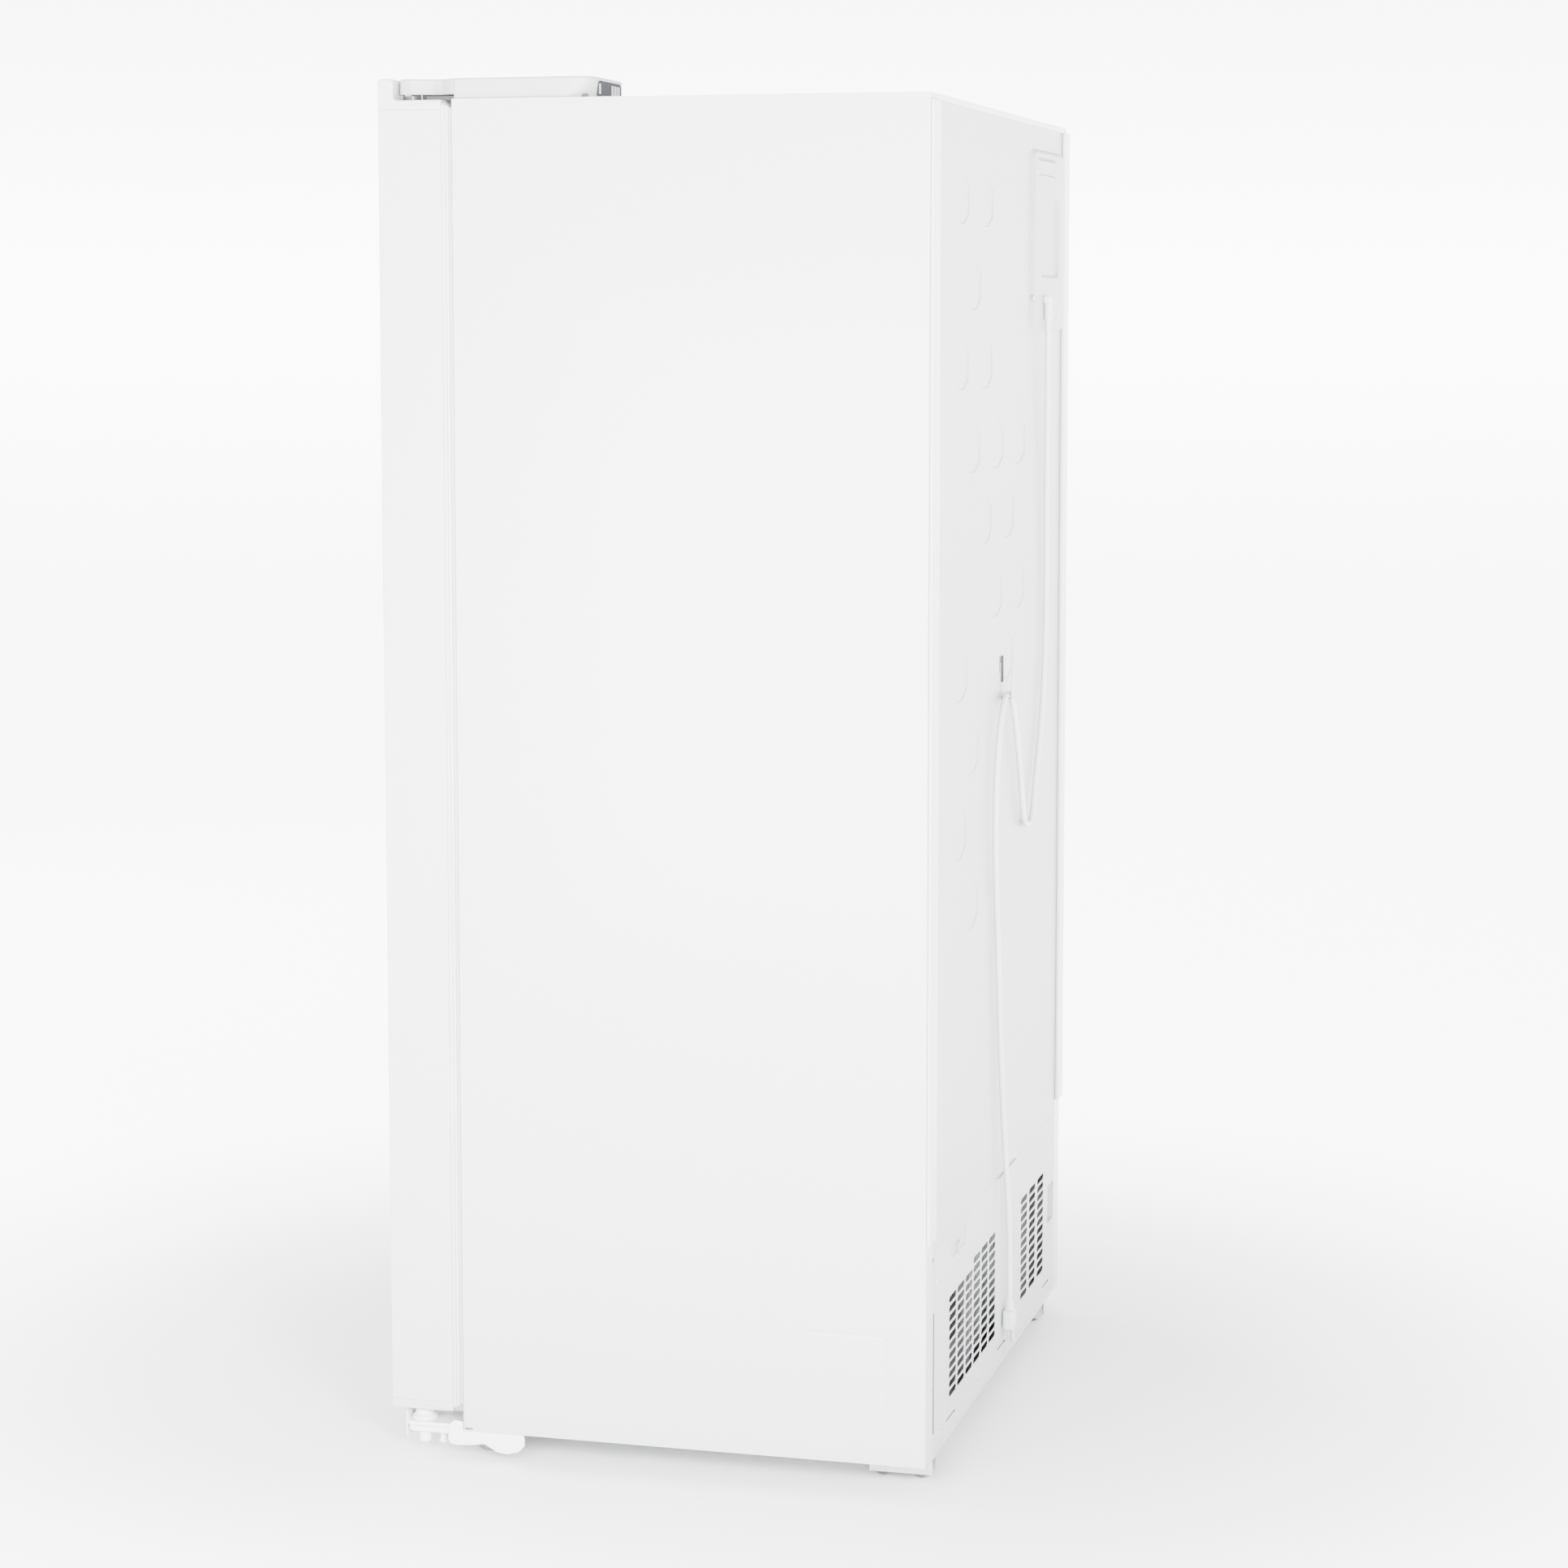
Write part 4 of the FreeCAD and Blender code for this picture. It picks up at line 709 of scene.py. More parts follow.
def sheet_with_dishes(x, z, y, dishes, levels):
    """A flat sheet over the spans x, z and y with a dish pressed into it at each outline.

    The face round the dishes is filled between the outlines; a dish is its outline carried down
    the levels."""
    border = rectangle(x, z, 1.0)
    points, edges, start = [], [], 0
    for loop in (border, *dishes):
        points.append(np.insert(loop, 1, y[1], axis=1))
        ring = start + np.arange(len(loop))
        edges += np.stack([ring, np.roll(ring, -1)], 1).tolist()
        start += len(loop)
    face = reworked(np.concatenate(points), edges, [], fill)
    shells = [face, stack(border, [(0, y[1]), (0, y[0])], "y", (False, True))]
    shells += [stack(dish, levels, "y", (False, True)) for dish in dishes]
    return outward(*merge(*shells))


class FRIDGE_OT_rear_panel(bpy.types.Operator):
    """Rear panel with staggered rows of pressed pads"""

    bl_idname = "fridge.rear_panel"
    bl_label = "Rear panel"

    def execute(self, context):
        depth = context.scene.fridge_case.emboss_height / MM
        top = REAR_FACE
        levels = [(0, top), (0.4, top - depth * 0.15), (1.3, top - depth * 0.85), (1.9, top - depth)]
        pads = [pad_outline(PAD_START - PAD_COLUMN * column, z) for z, columns in PAD_ROWS for column in columns]
        sheet = sheet_with_dishes((-417.8, 417.8), (296.2, 1735.8), (351.2, top), pads, levels)
        tongue = block((205, 345), (351.2, 352), (250, 297), 0.3, "y", 6.0)
        boss = turned([(2, 0), (9, 0), (9, 2.2), (7.6, 3.4), (3, 3.4), (2.4, 2.2), (1, 2.2)], (261, 352, 273), "y", 24)
        add_piece("rear_sheet", merge(sheet, tongue, boss), "cabinet", ("rear_panel",), "rear_paint", smooth=25)
        return {"FINISHED"}


# ---------------------------------------------------------------- covers at the back

# Each column of slots gives its start and width, and each row its lower edge.
SLOT_COLUMNS = [(16 + 51 * i, 46) for i in range(6)] + [(-336 + 62 * i, 50) for i in range(3)]
SLOT_ROWS = [87.5 + 12.4 * i for i in range(12)]
TAB_CUTS = ((277, 331), (-55, 1), (-379, -330))
STRETCH_START, COVER_TOP = 240.0, 303.0


def cover_top_edge(x):
    """Height of the machine cover's top edge: 303, dipped by 35 in a notch and rounded at its right end."""
    dip = 35 * smooth_step(x, 208, 220) * (1 - smooth_step(x, 296, 345))
    corner = 26 - np.sqrt(np.maximum(0, 26 ** 2 - np.clip(x - 391.3, 0, 26) ** 2))
    return COVER_TOP - dip - corner


def machine_sheet():
    """The vented sheet: y = 352.8, raised 2.5 over the upright channel, cut at the slots and tabs.

    Rows above z = 240 are stretched so that the last one follows the top edge."""
    x_lines = [-417.3, -410, -367, 417.3, -122, -116, 5, 11, 356, 362, 405, 414]
    x_lines += [edge for start, width in SLOT_COLUMNS for edge in (start, start + 3, start + width - 3, start + width)]
    x_lines += [edge for low, high in TAB_CUTS for edge in (low, low + 6, high)]
    x_lines += list(np.arange(203, 350, 4.5)) + list(np.arange(391.3, 417, 3.2))
    x_lines = np.unique(np.round(x_lines, 3))
    x_lines = x_lines[np.concatenate([[True], np.diff(x_lines) > 0.4])]
    z_lines = [42, 60.5, 63, 68, 74, 148, 204, 225, 303, 240, 262, 282, 296]
    z_lines += [edge for low in SLOT_ROWS for edge in (low, low + 2, low + 7, low + 9)]
    z_lines = np.unique(np.round(z_lines, 3))

    def height(x, z):
        channel = smooth_step(x, -122, -116) * (1 - smooth_step(x, 5, 11)) * smooth_step(z, 66, 74)
        return CASE_REAR + SHEET + 2.5 * channel

    def keep(x, z):
        cut = np.zeros_like(x, bool)
        for column, (start, width) in enumerate(SLOT_COLUMNS):
            for row, low in enumerate(SLOT_ROWS):
                if row == 11 and 3 <= column <= 5:
                    continue
                inside = (x > start) & (x < start + width) & (z > low) & (z < low + 9)
                end = (x < start + 3) | (x > start + width - 3)
                tip = (z < low + 2) | (z > low + 7)
                cut |= inside & ~(end & tip)
        for low, high in TAB_CUTS:
            cut |= (x > low) & (x < high) & (z > 60.5) & (z < 63)
            cut |= (x > low) & (x < low + 6) & (z < 63)
        cut |= (x > 356) & (x < 362) & (z < 60.5)
        cut |= (x > 405) & (x < 414) & (z > 68) & (z < 225)
        cut |= (x > -410) & (x < -367) & (z > 148) & (z < 204)
        return ~cut

    points, faces = relief(x_lines, z_lines, height, CASE_REAR, keep)
    top = cover_top_edge(points[:, 0])
    height_over = points[:, 2] - STRETCH_START
    share = np.clip(height_over / (COVER_TOP - STRETCH_START), 0, 1)
    points[:, 2] = np.where(height_over > 0, STRETCH_START + share * (top - STRETCH_START), points[:, 2])
    return points, faces


class FRIDGE_OT_machine_cover(bpy.types.Operator):
    """Vented cover of the machine bay"""

    bl_idname = "fridge.machine_cover"
    bl_label = "Machine cover"

    def execute(self, context):
        pocket = [(1.0, 340.0), (1.0, 352.3), (0, 352.3), (0, 339.0)]
        window = stack(rectangle((-411, -366), (147, 205), 2), pocket, "y")
        latch = block((-4, 6), (352.8, 355.2), (108, 132), 1.0, "y", 2.0)
        add_piece("machine_bay_cover", merge(machine_sheet(), window, latch), "cabinet", ("machine_cover",),
                  "rear_plastic", smooth=30)
        return {"FINISHED"}


BOX_X, BOX_Z = (-414.0, -186.0), (1451.0, 1706.0)
BOX_SCREWS = ((-220, 1674), (-339, 1674), (-190.5, 1500), (-351, 1479))
BAY_SCREWS = ((232, 62), (132, 62), (-316, 62), (400, 262), (-400, 262))


def inside_distance(x, z, x_span, z_span, radius):
    """Distance inwards from a rectangle with rounded corners; negative outside it."""
    middle_x, middle_z = sum(x_span) / 2, sum(z_span) / 2
    dx = np.abs(x - middle_x) - (x_span[1] - x_span[0]) / 2 + radius
    dz = np.abs(z - middle_z) - (z_span[1] - z_span[0]) / 2 + radius
    return radius - np.hypot(np.maximum(dx, 0), np.maximum(dz, 0)) - np.minimum(np.maximum(dx, dz), 0)


def box_height(x, z):
    """Face of the control box: 352.3, raised 5.7 inside a sloped edge, dished 4.1 in the middle and
    pressed in at the slot line, the bridge between the upper screws and the screw seats."""
    edge = inside_distance(x, z, BOX_X, BOX_Z, 16)
    dish = inside_distance(x, z, (-377, -233), (1527, 1642), 18)
    slot = inside_distance(x, z, (-345, -215), (1690, 1693.5), 1.5)
    bridge = inside_distance(x, z, (-333, -226), (1669, 1679), 4)
    face = 352.3 + 5.7 * smooth_step(edge, 0, 7) - 4.1 * smooth_step(dish, 0, 6)
    face = face - 3.6 * smooth_step(slot, -0.6, 1.2) - 2.2 * smooth_step(bridge, 0, 2.5)
    for screw_x, screw_z in BOX_SCREWS:
        away = np.hypot(x - screw_x, z - screw_z)
        face = face - 1.4 * (1 - smooth_step(away, 4.5, 9))
    return face


class FRIDGE_OT_control_cover(bpy.types.Operator):
    """Raised cover of the control box with its dish and screw seats, and the board under it"""

    bl_idname = "fridge.control_cover"
    bl_label = "Control box cover"

    def execute(self, context):
        x_lines = np.linspace(*BOX_X, 150)
        z_lines = np.linspace(*BOX_Z, 200)
        # The control cover takes the darker box plastic: painted shade.
        add_piece("control_cover", relief(x_lines, z_lines, box_height, CASE_REAR), "cabinet", ("control_box_cover",),
                  "rear_plastic", "box_plastic_painted_shade", smooth=30)
        shells = [block((-400, -200), (351.3, 352.4), (1465, 1692), 0.2, "y", 2.0)]
        shells += [block((x, x + 40), (352.5, 354.6), (1486, 1518), 0.4, "y", 1.5) for x in (-384, -314, -254)]
        add_piece("control_electronics", merge(*shells), "cabinet", ("control_board",), "board_laminate", smooth=30)
        return {"FINISHED"}


def screw_head(x, y, z, radius=4.0):
    """A domed head whose face is y + 0.25 + 1.5 * (1 - (r / radius)^2)^0.6, cut by a cross about 1 wide."""
    r = np.array([1.0, 0.9, 0.75, 0.6, 0.45, 0.3, 0.16, 0.04]) * radius
    a = np.linspace(0, 2 * math.pi, 40, endpoint=False)
    across, up = r[:, None] * np.cos(a), r[:, None] * np.sin(a)
    arm = np.minimum(np.abs(across), np.abs(up))
    dome = 0.25 + 1.5 * (1 - (r[:, None] / radius) ** 2) ** 0.6
    cross = 0.9 * (1 - smooth_step(arm, 0.3, 0.6)) * (1 - smooth_step(r[:, None], radius * 0.5, radius * 0.65))
    face = np.stack([x + across, y + dome - cross, z + up], -1)
    rim = np.stack([x + radius * np.cos(a), np.full_like(a, y - 0.6), z + radius * np.sin(a)], -1)[None]
    points = np.concatenate([rim, face]).reshape(-1, 3)
    rows = len(r) + 1
    faces = grid_faces(rows, len(a), close_columns=True) + end_faces(rows, len(a))
    return outward(points, faces)


class FRIDGE_OT_cover_screws(bpy.types.Operator):
    """Cross-head screws of the two rear covers"""

    bl_idname = "fridge.cover_screws"
    bl_label = "Cover screws"

    def execute(self, context):
        heads = [screw_head(x, 356.0, z) for x, z in BOX_SCREWS]
        heads += [screw_head(x, 352.9, z) for x, z in BAY_SCREWS]
        add_piece("cover_screw_heads", merge(*heads), "cabinet", ("cover_screws",), "zinc_steel", smooth=25)
        return {"FINISHED"}


# ---------------------------------------------------------------- hinges and feet

def mirrored(outline, side):
    """The outline on the chosen side, still anticlockwise."""
    outline = np.asarray(outline, float)
    return outline if side > 0 else (outline * [-1, 1])[::-1]


def hinge_nose_outline():
    """Plan of the nose of a right hinge cover: a waisted neck and a round end over the pin."""
    corners = [(404, -246), (404, -322), (417, -335), (440, -335), (445, -317), (437, -303), (431.5, -291),
               (433, -279), (446, -263), (450, -246)]
    return rounded(corners, [0, 4, 5, 8, 6, 6, 8, 10, 6, 0], 5)


def hinge_body(side):
    """The body of a hinge cover: its rear outer corner is a cone, round at the foot and tighter
    above, and its upper edge is rounded by 2.4."""
    levels = [(1744, 46, 0), (1752, 38, 0), (1760, 30, 0), (1767.6, 24, 0), (1769, 23, 0.7), (1769.8, 22, 1.6),
              (1770, 22, 2.6)]
    rings = []
    for z, corner, inset in levels:
        low, high = (322 + inset, -258 + inset), (452 - inset, -76 - inset)
        plan = rounded([low, (high[0], low[1]), high, (low[0], high[1])], [2, 3, corner, 8], 8)
        plan = mirrored(plan, side)
        rings.append(np.column_stack([plan, np.full(len(plan), z)]))
    points = np.array(rings)
    count = points.shape[1]
    faces = grid_faces(len(levels), count, close_columns=True)
    faces += end_faces(len(levels), count)
    return outward(points.reshape(-1, 3), faces)


class FRIDGE_OT_hinge_covers(bpy.types.Operator):
    """Moulded covers over the two top hinges, with their dark end plates, and dark undersides painted as shade"""

    bl_idname = "fridge.hinge_covers"
    bl_label = "Hinge covers"

    def execute(self, context):
        shells, dark, ribs = [], [], []
        for side in (-1, 1):
            nose = stack(mirrored(hinge_nose_outline(), side), edge_levels(1751, 1770, 0.4, 2.4), "z")
            shells += [hinge_body(side), nose]
            # Dark undersides below the covers: painted shade.
            under = rounded([(409, -263), (409, -320), (418, -331), (438, -331), (440, -318), (428.5, -296),
                             (428.5, -263)], [2, 4, 5, 6, 6, 6, 2], 4)
            dark.append(stack(mirrored(under, side), [(0, 1744.4), (0, 1751.4)], "z"))
            end = sorted((side * 334, side * 428))
            dark.append(block(end, (-77.5, -75.6), (1745, 1766), 0.6, "y", 5.0))
            for start, width in ((343, 3), (350, 3), (357, 3), (364, 3), (371, 3), (420, 5)):
                span = sorted((side * start, side * (start + width)))
                ribs.append(block(span, (-76.4, -74.9), (1749, 1762), 0.4, "y", 0.9))
            for low, high in ((-327, -318), (-307, -305.5)):
                span = sorted((side * 412, side * (440 if low < -320 else 434.5)))
                ribs.append(block(span, (low, high), (1744.6, 1751.6), 0.4, "z", 0.6))
        # The hinge covers take the darker cover plastic: painted shade.
        add_piece("hinge_cover_shells", merge(*shells, *ribs), "cabinet", ("hinge_covers",), "cover_plastic")
        add_piece("hinge_cover_shades", merge(*dark), "cabinet", (), "fan_plastic", "shade_plastic")
        return {"FINISHED"}


class FRIDGE_OT_bottom_hinges(bpy.types.Operator):
    """Bottom hinge ledges with their bosses, pins and bolts"""

    bl_idname = "fridge.bottom_hinges"
    bl_label = "Bottom hinges"

    def execute(self, context):
        shells = []
        for side in (-1, 1):
            x = side * PIN_X
            ledge = rounded([(376, -338), (452, -338), (452, -205), (376, -205)], [10, 8, 3, 3])
            step = rounded([(405, -341), (452, -341), (452, -261), (405, -261)], [12, 9, 12, 3])
            shells.append(stack(mirrored(ledge, side), edge_levels(31, 38, 1.2, 1.2), "z"))
            shells.append(stack(mirrored(step, side), edge_levels(38, 44, 2.2, 1.2), "z"))
            shells.append(turned([(1, 43.8), (17, 43.8), (16.5, 48), (13, 51), (12, 57), (11, 58), (5, 58), (5, 71),
                                  (4, 72), (1, 72)], (x, PIN_Y, 0), "z", 40))
            shells.append(turned([(1, 31.2), (8.2, 31.2), (8.2, 19), (7.4, 16), (5.5, 15.2), (1, 15.2)],
                                 (x + side * 8, -318, 0), "z", 28))
            shells.append(turned([(1, 31.2), (4.2, 31.2), (4.2, 19.5), (6.2, 19), (6.2, 17.2), (4, 15.4), (1, 15.2)],
                                 (x + side * 8, -293, 0), "z", 28))
            plate = sorted((side * 408, side * 449))
            shells.append(block(plate, (-341, -339.2), (22, 57.5), 0.7, "y", 3.0))
        # The bottom hinges take the lighter toe plastic: painted light.
        add_piece("bottom_hinge_sets", merge(*shells), "cabinet", ("bottom_hinges",), "cover_plastic", "toe_plastic_painted_light")
        return {"FINISHED"}


class FRIDGE_OT_toe_cover(bpy.types.Operator):
    """Moulded cover across the front feet, with its waved ends"""

    bl_idname = "fridge.toe_cover"
    bl_label = "Toe cover"

    def execute(self, context):
        wave = rounded([(-281, 19), (-270, 17.5), (-248, 19), (-232, 22), (-214, 12), (-202, 10.5), (-186, 14),
                        (-177, 23), (-177, 37.6), (-260.8, 37.6), (-260.8, 49), (-274, 51), (-281, 42)],
                       [7, 8, 8, 10, 14, 8, 6, 6, 4, 1, 1.5, 8, 7], 5)
        shells = []
        for side in (-1, 1):
            low, high = sorted((side * 452.4, side * 455))
            shells.append(stack(wave, edge_levels(low, high, 0.9, 0.9), "x"))
        front = rounded([(-281, 15), (-278, 15), (-278, 30), (-281, 30)], 1.2, 3)
        shells.append(stack(front, edge_levels(-443, 443, 1, 1), "x"))
        rise = rounded([(-370, 28), (370, 28), (370, 52), (-370, 52)], [1, 1, 14, 14], 6)
        shells.append(stack(rise, edge_levels(-281, -278, 1.0, 0.8), "y"))
        louvres = [block((-330, 330), (-281.1, -280.6), (z, z + 2.2), 0.4, "y", 0.8) for z in (34, 39, 44)]
        # The toe cover takes the lighter toe plastic: painted light.
        add_piece("toe_cover", merge(*shells, *louvres), "cabinet", ("toe_kick",), "cover_plastic", "toe_plastic_painted_light")
        return {"FINISHED"}


class FRIDGE_OT_feet(bpy.types.Operator):
    """Levelling legs and rear rollers"""

    bl_idname = "fridge.feet"
    bl_label = "Legs and rollers"

    def execute(self, context):
        thread = [(5.0 - 0.45 * (i % 2), 14.5 + 0.7 * i) for i in range(32)]
        profile = [(1, 0), (16, 0), (18, 1.6), (18, 6), (15, 9), (9, 10), (8.6, 14), (5, 14.2), *thread,
                   (4, 37.4), (1, 37.4)]
        hexagon = rounded([(9.5 * math.cos(a), 9.5 * math.sin(a)) for a in np.arange(6) * math.pi / 3], 1.0, 2)
        for name, side in (("left", -1), ("right", 1)):
            foot = turned(profile, (side * 396, -240, 0), "z", 36)
            nut = stack(hexagon + [side * 396, -240], edge_levels(10, 14.5, 0.6, 0.6), "z")
            add_piece(f"leg_{name}", merge(foot, nut), f"levelling_leg_{name}", (f"levelling_leg_{name}",),
                      "foot_plastic")
            for place, y in (("front", 280), ("rear", 330)):
                tread = [(3.05, -7), (6, -7), (6.4, -5.6), (9.6, -5.6), (10, -7), (11.4, -7), (12, -6.2), (12, 6.2),
                         (11.4, 7), (10, 7), (9.6, 5.6), (6.4, 5.6), (6, 7), (3.05, 7)]
                node = f"rear_roller_{name}_{place}"
                add_piece(f"{node}_wheel", turned(tread, (side * 373, y, 12), "x", 40), node, (node,),
                          "roller_plastic")
        return {"FINISHED"}


# ---------------------------------------------------------------- doors

DOOR_FRONT, DOOR_BACK = -358.0, -274.0
DOOR_LOW, WRAP_LOW, WRAP_HIGH = 62.0, 74.5, 1731.0
# Heights between which the free edge is cut away for the grip.
GRIP_LOW, GRIP_HIGH = 618.0, 1322.0
BIN_FRONT, BIN_FLOORS = -194.0, (130, 480, 830, 1180)
# Each door: its name, its free edge, its hinge edge and the way from one to the other.
DOORS = (("fridge", -56.0, 456.0, 1), ("freezer", -64.0, -456.0, -1))


def door_section(free, side, points, radii):
    """A section given by its distance from the door's free edge, turned anticlockwise."""
    corners = np.array([(free + side * t, y) for t, y in points], float)
    radii = np.asarray(radii, float)
    if side < 0:
        corners, radii = corners[::-1], radii[::-1]
    return rounded(corners, radii, 5)


class FRIDGE_OT_doors(bpy.types.Operator):
    """Painted wraps of both doors with their end caps"""

    bl_idname = "fridge.doors"
    bl_label = "Doors"

    def execute(self, context):
        door = context.scene.fridge_door
        r, lip = door.edge_radius / MM, door.lip_radius / MM
        front, back, g = DOOR_FRONT, DOOR_BACK, SHEET
        for name, free, hinge, side in DOORS:
            width = abs(hinge - free)
            whole = door_section(free, side, [(0, back), (0, front), (width, front), (width, back), (width - g, back),
                                              (width - g, front + g), (g, front + g), (g, back)],
                                 [0, r, r, 0, 0, r - g, r - g, 0])
            face = door_section(free, side, [(18, front), (width, front), (width, back), (width - g, back),
                                             (width - g, front + g), (18, front + g)], [0.3, r, 0, 0, r - g, 0])
            edge = door_section(free, side, [(0, front + 40), (g, front + 40), (g, back), (0, back)], [0.3, 0.3, 0, 0])
            shells = [bar(whole, WRAP_LOW, GRIP_LOW), bar(whole, GRIP_HIGH, WRAP_HIGH),
                      bar(face, GRIP_LOW, GRIP_HIGH), bar(edge, GRIP_LOW, GRIP_HIGH)]
            body = f"{name}_door"
            add_piece(f"{name}_door_wrap", merge(*shells), body, (f"{name}_door_skin",), "door_paint")

            low, high = sorted((free, hinge))
            top = rounded([(front, WRAP_HIGH), (back, WRAP_HIGH), (back, 1743.5), (-337, 1743.5), (-337, 1770),
                           (front, 1770)], [0, 0, 1.5, 6, lip, lip], 6)
            bottom = rounded([(front, DOOR_LOW), (back, DOOR_LOW), (back, WRAP_LOW), (front, WRAP_LOW)],
                             [4, 1.5, 0, 0], 5)
            shells = [stack(top, edge_levels(low, high, 2, 2), "x"), stack(bottom, edge_levels(low, high, 2, 2), "x")]
            add_piece(f"{name}_door_ends", merge(*shells), body, (f"{name}_door_caps",), "door_paint")
        return {"FINISHED"}


class FRIDGE_OT_door_linings(bpy.types.Operator):
    """Door linings with their ribs, inner frames, bins and seals"""

    bl_idname = "fridge.door_linings"
    bl_label = "Door linings"

    def execute(self, context):
        for name, free, hinge, side in DOORS:
            body = f"{name}_door"
            low, high = sorted((free, hinge))
            plate = block((low + 0.8, high - 0.8), (-276, -274), (74.6, 1730.9), 0.4, "y", 1.5)
            ribs = [sorted((free + side * 64, free + side * 78)), sorted((hinge - side * 80, hinge - side * 66))]
            shells = [plate] + [block(x, (DOOR_BACK - 0.2, BIN_FRONT), (110, 1335), 4.0, "y", 5.0) for x in ribs]
            frame_x = sorted((free + side * 2, hinge - side * 2.5))
            outline = rectangle(frame_x, (64.5, 1740), 6)
            steps = [(0, -274), (0, -270.6), (0.8, -269.8), (2.6, -269.6), (2.8, -266.8), (3.6, -266), (5.6, -265.8),
                     (5.8, -263.2), (6.6, -262.4), (9, -262.4), (9, -274)]
            shells.append(stack(outline, steps, "y", closed_levels=True))
            # The door lining takes the darker lining plastic: painted shade.
            add_piece(f"{name}_door_lining", merge(*shells), body, (f"{name}_door_liner",), "liner_plastic",
                      "lining_plastic_painted_shade")

            seal_x = sorted((free + side * 6, hinge - side * 24))
            outline = rectangle(seal_x, (72, 1733.5), 3)
            loop = [(0.2, -274), (0, -271), (2.2, -268.6), (0.8, -265), (2.5, -261.2), (6, -260.4), (14, -260.4),
                    (17.5, -261.2), (19.2, -265), (17.8, -268.6), (20, -271), (19.8, -274)]
            add_piece(f"{name}_door_seal", stack(outline, loop, "y", closed_levels=True), body,
                      (f"{name}_door_gasket",), "gasket_rubber")

            first, second = (ribs[0], ribs[1]) if side > 0 else (ribs[1], ribs[0])
            bin_x = (first[1] + 1, second[0] - 1)
            bins = [stack(rectangle(bin_x, (DOOR_BACK, BIN_FRONT), 9), tray_levels(z, z + 95, 2.5, 6), "z")
                    for z in BIN_FLOORS]
            add_piece(f"{name}_bins", merge(*bins), body, (f"{name}_door_bins",), "clear_plastic")
        return {"FINISHED"}


# ---------------------------------------------------------------- compartments

# Each compartment: its name, its two side walls and its rear wall.
SPACES = (("freezer", -408.0, -92.0, 190.0), ("fridge", -28.0, 408.0, 262.0))
SHELVES = (373, 640, 900, 1160, 1420)
DRAWERS = (("lower", 104), ("upper", 234))
CEILING = 1684.0


def cavity(x_span, radius):
    """Inside of a stepped compartment: the side profile carried across x, drawn in by a quarter
    circle next to each side wall, and open at the front."""
    path = rounded([(-259.2, 100), (96, 100), (96, 372), (282, 372), (282, CEILING), (-259.2, CEILING)],
                   [0, 18, 14, 18, 22, 0], 6, closed=False)
    normals = outline_normals(path, closed=False)
    a = np.linspace(0, math.pi / 2, 6)
    levels = [(radius * (1 - math.sin(x)), x_span[0] + radius * (1 - math.cos(x))) for x in a]
    levels += [(radius * (1 - math.cos(x)), x_span[1] - radius * (1 - math.sin(x))) for x in a]
    levels = np.array(levels)
    flat = path[None] + levels[:, :1, None] * -normals[None]
    count = len(path)
    points = np.zeros((len(levels), count, 3))
    points[..., 1], points[..., 2], points[..., 0] = flat[..., 0], flat[..., 1], levels[:, 1:2]
    faces = grid_faces(len(levels), count)
    faces += end_faces(len(levels), count)
    points, faces = outward(points.reshape(-1, 3), faces)
    return points, [face[::-1] for face in faces]


class FRIDGE_OT_compartments(bpy.types.Operator):
    """Formed linings of both compartments, with shelf ledges"""

    bl_idname = "fridge.compartments"
    bl_label = "Compartments"

    def execute(self, context):
        for name, low, high, back in SPACES:
            lining = add_piece(f"{name}_lining", cavity((low, high), 12.0), "cabinet", (f"{name}_liner",),
                               "liner_plastic")
            wall = lining.modifiers.new("wall", "SOLIDIFY")
            wall.thickness = 1.9 * MM
            wall.offset = -1
            ledges = []
            for z in SHELVES:
                for x in ((low, low + 5), (high - 5, high)):
                    ledges.append(block(x, (-140, back - 12), (z - 7, z - 0.1), 1.6, "y", 1.6))
            add_piece(f"{name}_ledges", merge(*ledges), "cabinet", (), "liner_plastic")
        return {"FINISHED"}


class FRIDGE_OT_shelves(bpy.types.Operator):
    """Glass shelves with moulded front and rear trims, and the lamps"""

    bl_idname = "fridge.shelves"
    bl_label = "Shelves and lamps"

    def execute(self, context):
        for name, low, high, back in SPACES:
            x = (low + 2, high - 2)
            glass = [block(x, (-141, back - 10), (z, z + 4), 0.8, "z", 4.0) for z in SHELVES]
            add_piece(f"{name}_shelf_glass", merge(*glass), "cabinet", (f"{name}_shelves",), "shelf_glass")
            trims = []
            for z in SHELVES:
                nose = rounded([(-150, z - 4), (-140, z - 2), (-140, z + 6), (-147, z + 7), (-150, z + 3)],
                               [2, 1, 1, 2, 2], 4)
                tail = rounded([(back - 12, z - 2), (back - 2, z - 2), (back - 2, z + 9), (back - 6, z + 9),
                                (back - 12, z + 5)], [1, 1, 1, 1, 1.5], 3)
                trims += [stack(nose, edge_levels(*x, 1.2, 1.2), "x"), stack(tail, edge_levels(*x, 1.2, 1.2), "x")]
            add_piece(f"{name}_shelf_trims", merge(*trims), "cabinet", (), "shelf_plastic")
        lamps = []
        for _, low, high, _ in SPACES:
            middle = (low + high) / 2
            lamps.append(block((middle - 60, middle + 60), (-60, 0), (CEILING - 12, CEILING), 3.0, "z", 9.0))
            lamps += [block((middle - 50 + 14 * i, middle - 44 + 14 * i), (-54, -6), (1671.4, 1673), 0.5, "z", 1.0)
                      for i in range(8)]
        add_piece("ceiling_lamps", merge(*lamps), "cabinet", ("interior_lamps",), "lamp_plastic")
        return {"FINISHED"}


